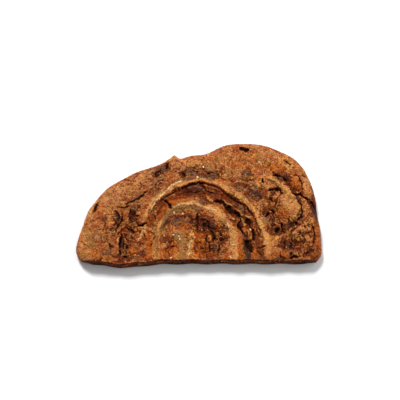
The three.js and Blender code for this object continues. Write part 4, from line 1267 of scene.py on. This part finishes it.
def crust_material():
    nodes = Nodes("baked_crust")
    times, plus, minus, spread = nodes.times, nodes.plus, nodes.minus, nodes.spread
    fine, sandy, blotch = (nodes.noise(*pattern) for pattern in (FINE, SANDY, BLOTCH))
    plate, gap = nodes.plates(SMALL_PLATES, PLATE_WANDER, PLATE_WANDER_SIZE)
    busy = minus(1, times(nodes.attribute("pale"), 0.3))
    drift = times(busy, spread(nodes.noise(*DRIFT), 0.38, 0.62, 0.55, 1.5))
    tone = nodes.attribute("mottle")
    for pattern, strength, amount in (
        (blotch, BLOTCH_TONE, busy), (sandy, SANDY_TONE, drift),
        (fine, FINE_TONE, drift), (plate, PLATE_SHADE, busy),
    ):
        tone = plus(tone, times(times(minus(pattern, 0.5), strength), amount))
    colour = nodes.mix(spread(tone, 0.0, 0.5), DARK_CRUST, MID_CRUST)
    colour = nodes.mix(spread(tone, 0.5, 1.1), colour, LIGHT_CRUST)
    colour = nodes.mix(times(nodes.attribute("tan"), TAN_SHARE), colour, TAN)
    for size, low, high, share, hue in HUES:
        there = spread(nodes.noise(size, 5, 0.65), low, high, 0.0, share)
        colour = nodes.mix(times(there, busy), colour, hue)
    # Painted glints: small pale specks.
    colour = nodes.mix(spread(nodes.noise(*GLINT_SPECKS), 0.6, 0.68, 0.0, 0.35), colour, GLINT_SPECK_COLOUR)
    ragged = times(minus(nodes.noise(*RAGGED), 0.5), RAGGED_REACH)
    colour, _ = nodes.lay(colour, LOW_COLOURS, ragged)

    cracked = times(spread(gap, 0.14, 0.02), spread(nodes.noise(*CRACKED), 0.5, 0.62))
    speckle = plus(nodes.noise(*SPECKLE), times(nodes.attribute("tan"), 0.04))
    specks = nodes.maths("MAXIMUM", spread(speckle, 0.59, 0.64), cracked)
    specks = times(specks, minus(0.75, times(nodes.attribute("pale"), 0.4)))
    colour = nodes.mix(specks, colour, DARK_CRUST)
    colour, stain_and_shade_edge = nodes.lay(colour, HIGH_COLOURS, ragged)
    tint = nodes.mix(spread(nodes.noise(*TINTED), 0.42, 0.58), OLIVE_TINT, PINK_TINT)
    colour = nodes.mix(1.0, colour, tint, "MULTIPLY")
    colour = nodes.mix(1.0, colour, spread(fine, 0.3, 0.7, 0.82, 1.18), "MULTIPLY")

    normal = nodes.bump(spread(gap, 0.0, 0.2), 0.2, 0.8)
    normal = nodes.bump(spread(stain_and_shade_edge, 0.7, 0.2), 0.7, 0.8, Normal=normal)
    normal = nodes.bump(sandy, 1.3, 1.0, Normal=normal)
    gloss = spread(plus(nodes.attribute("amber"), nodes.noise(*GLOSSY)), 0.3, 1.1, 0.55, 0.32)
    nodes.surface(Base_Color=colour, Roughness=gloss, Specular_IOR_Level=0.05,
                  Normal=nodes.bump(fine, 0.8, 1.0, Normal=normal))
    return nodes.material


def seed_material():
    nodes = Nodes("sesame")
    toasted = nodes.spread(nodes.noise(*TOASTED), 0.35, 0.7)
    nodes.surface(Base_Color=nodes.mix(toasted, DARK_SEED, LIGHT_SEED), Roughness=0.4)
    return nodes.material


def floor_material():
    nodes = Nodes("plain_floor")
    nodes.surface(Base_Color=FLOOR_COLOUR, Roughness=0.9, Specular_IOR_Level=0.1)
    return nodes.material


# The stage

FLOOR_SIZE = 8.0  # metres
LENS, SENSOR = 91.0, 36.0
CAMERA_DISTANCE = 1.170
CAMERA_ELEVATION = 74.0
CAMERA_AIM = Vector((0.0, 0.0515, 0.018))
LAMPS = {  # place, size, power
    "key": (Vector((-0.5, 1.4, 1.8)), 0.58, 56.0),
    "fill": (Vector((0.9, 0.3, 1.1)), 1.2, 7.5),
}
SKY_STRENGTH = 0.26


def put(name, data, place, back):
    """Puts a lamp or the camera in its place, facing away from back."""
    holder = bpy.data.objects.new(name, data)
    holder.location = place
    holder.rotation_euler = (-back).to_track_quat("-Z", "Y").to_euler()
    bpy.context.scene.collection.objects.link(holder)
    return holder


def make_stage():
    bpy.ops.mesh.primitive_plane_add(size=FLOOR_SIZE, location=(0, 0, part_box(NODE)[0].z))
    floor = bpy.context.object
    floor.name = "floor"
    floor.data.materials.append(floor_material())

    scene = bpy.context.scene
    scene.world = bpy.data.worlds.new("studio")
    scene.world.use_nodes = True
    background = scene.world.node_tree.nodes["Background"]
    background.inputs["Color"].default_value = (1, 1, 1, 1)
    background.inputs["Strength"].default_value = SKY_STRENGTH
    for name, (place, size, power) in LAMPS.items():
        lamp = bpy.data.lights.new(name, "AREA")
        lamp.size, lamp.energy = size, power
        put(name, lamp, place, place - CAMERA_AIM)

    camera = bpy.data.cameras.new("camera")
    camera.lens, camera.sensor_width = LENS, SENSOR
    tilt = math.radians(CAMERA_ELEVATION)
    back = Vector((0, -math.cos(tilt), math.sin(tilt)))
    scene.camera = put("camera", camera, CAMERA_AIM + CAMERA_DISTANCE * back, back)
    scene.view_settings.view_transform = "Standard"


make_stage()
loaf = make_loaf(crust_material())
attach(loaf, BODY)
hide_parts(NODE)
seeds = make_seeds(seed_material(), loaf)
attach(seeds, BODY)
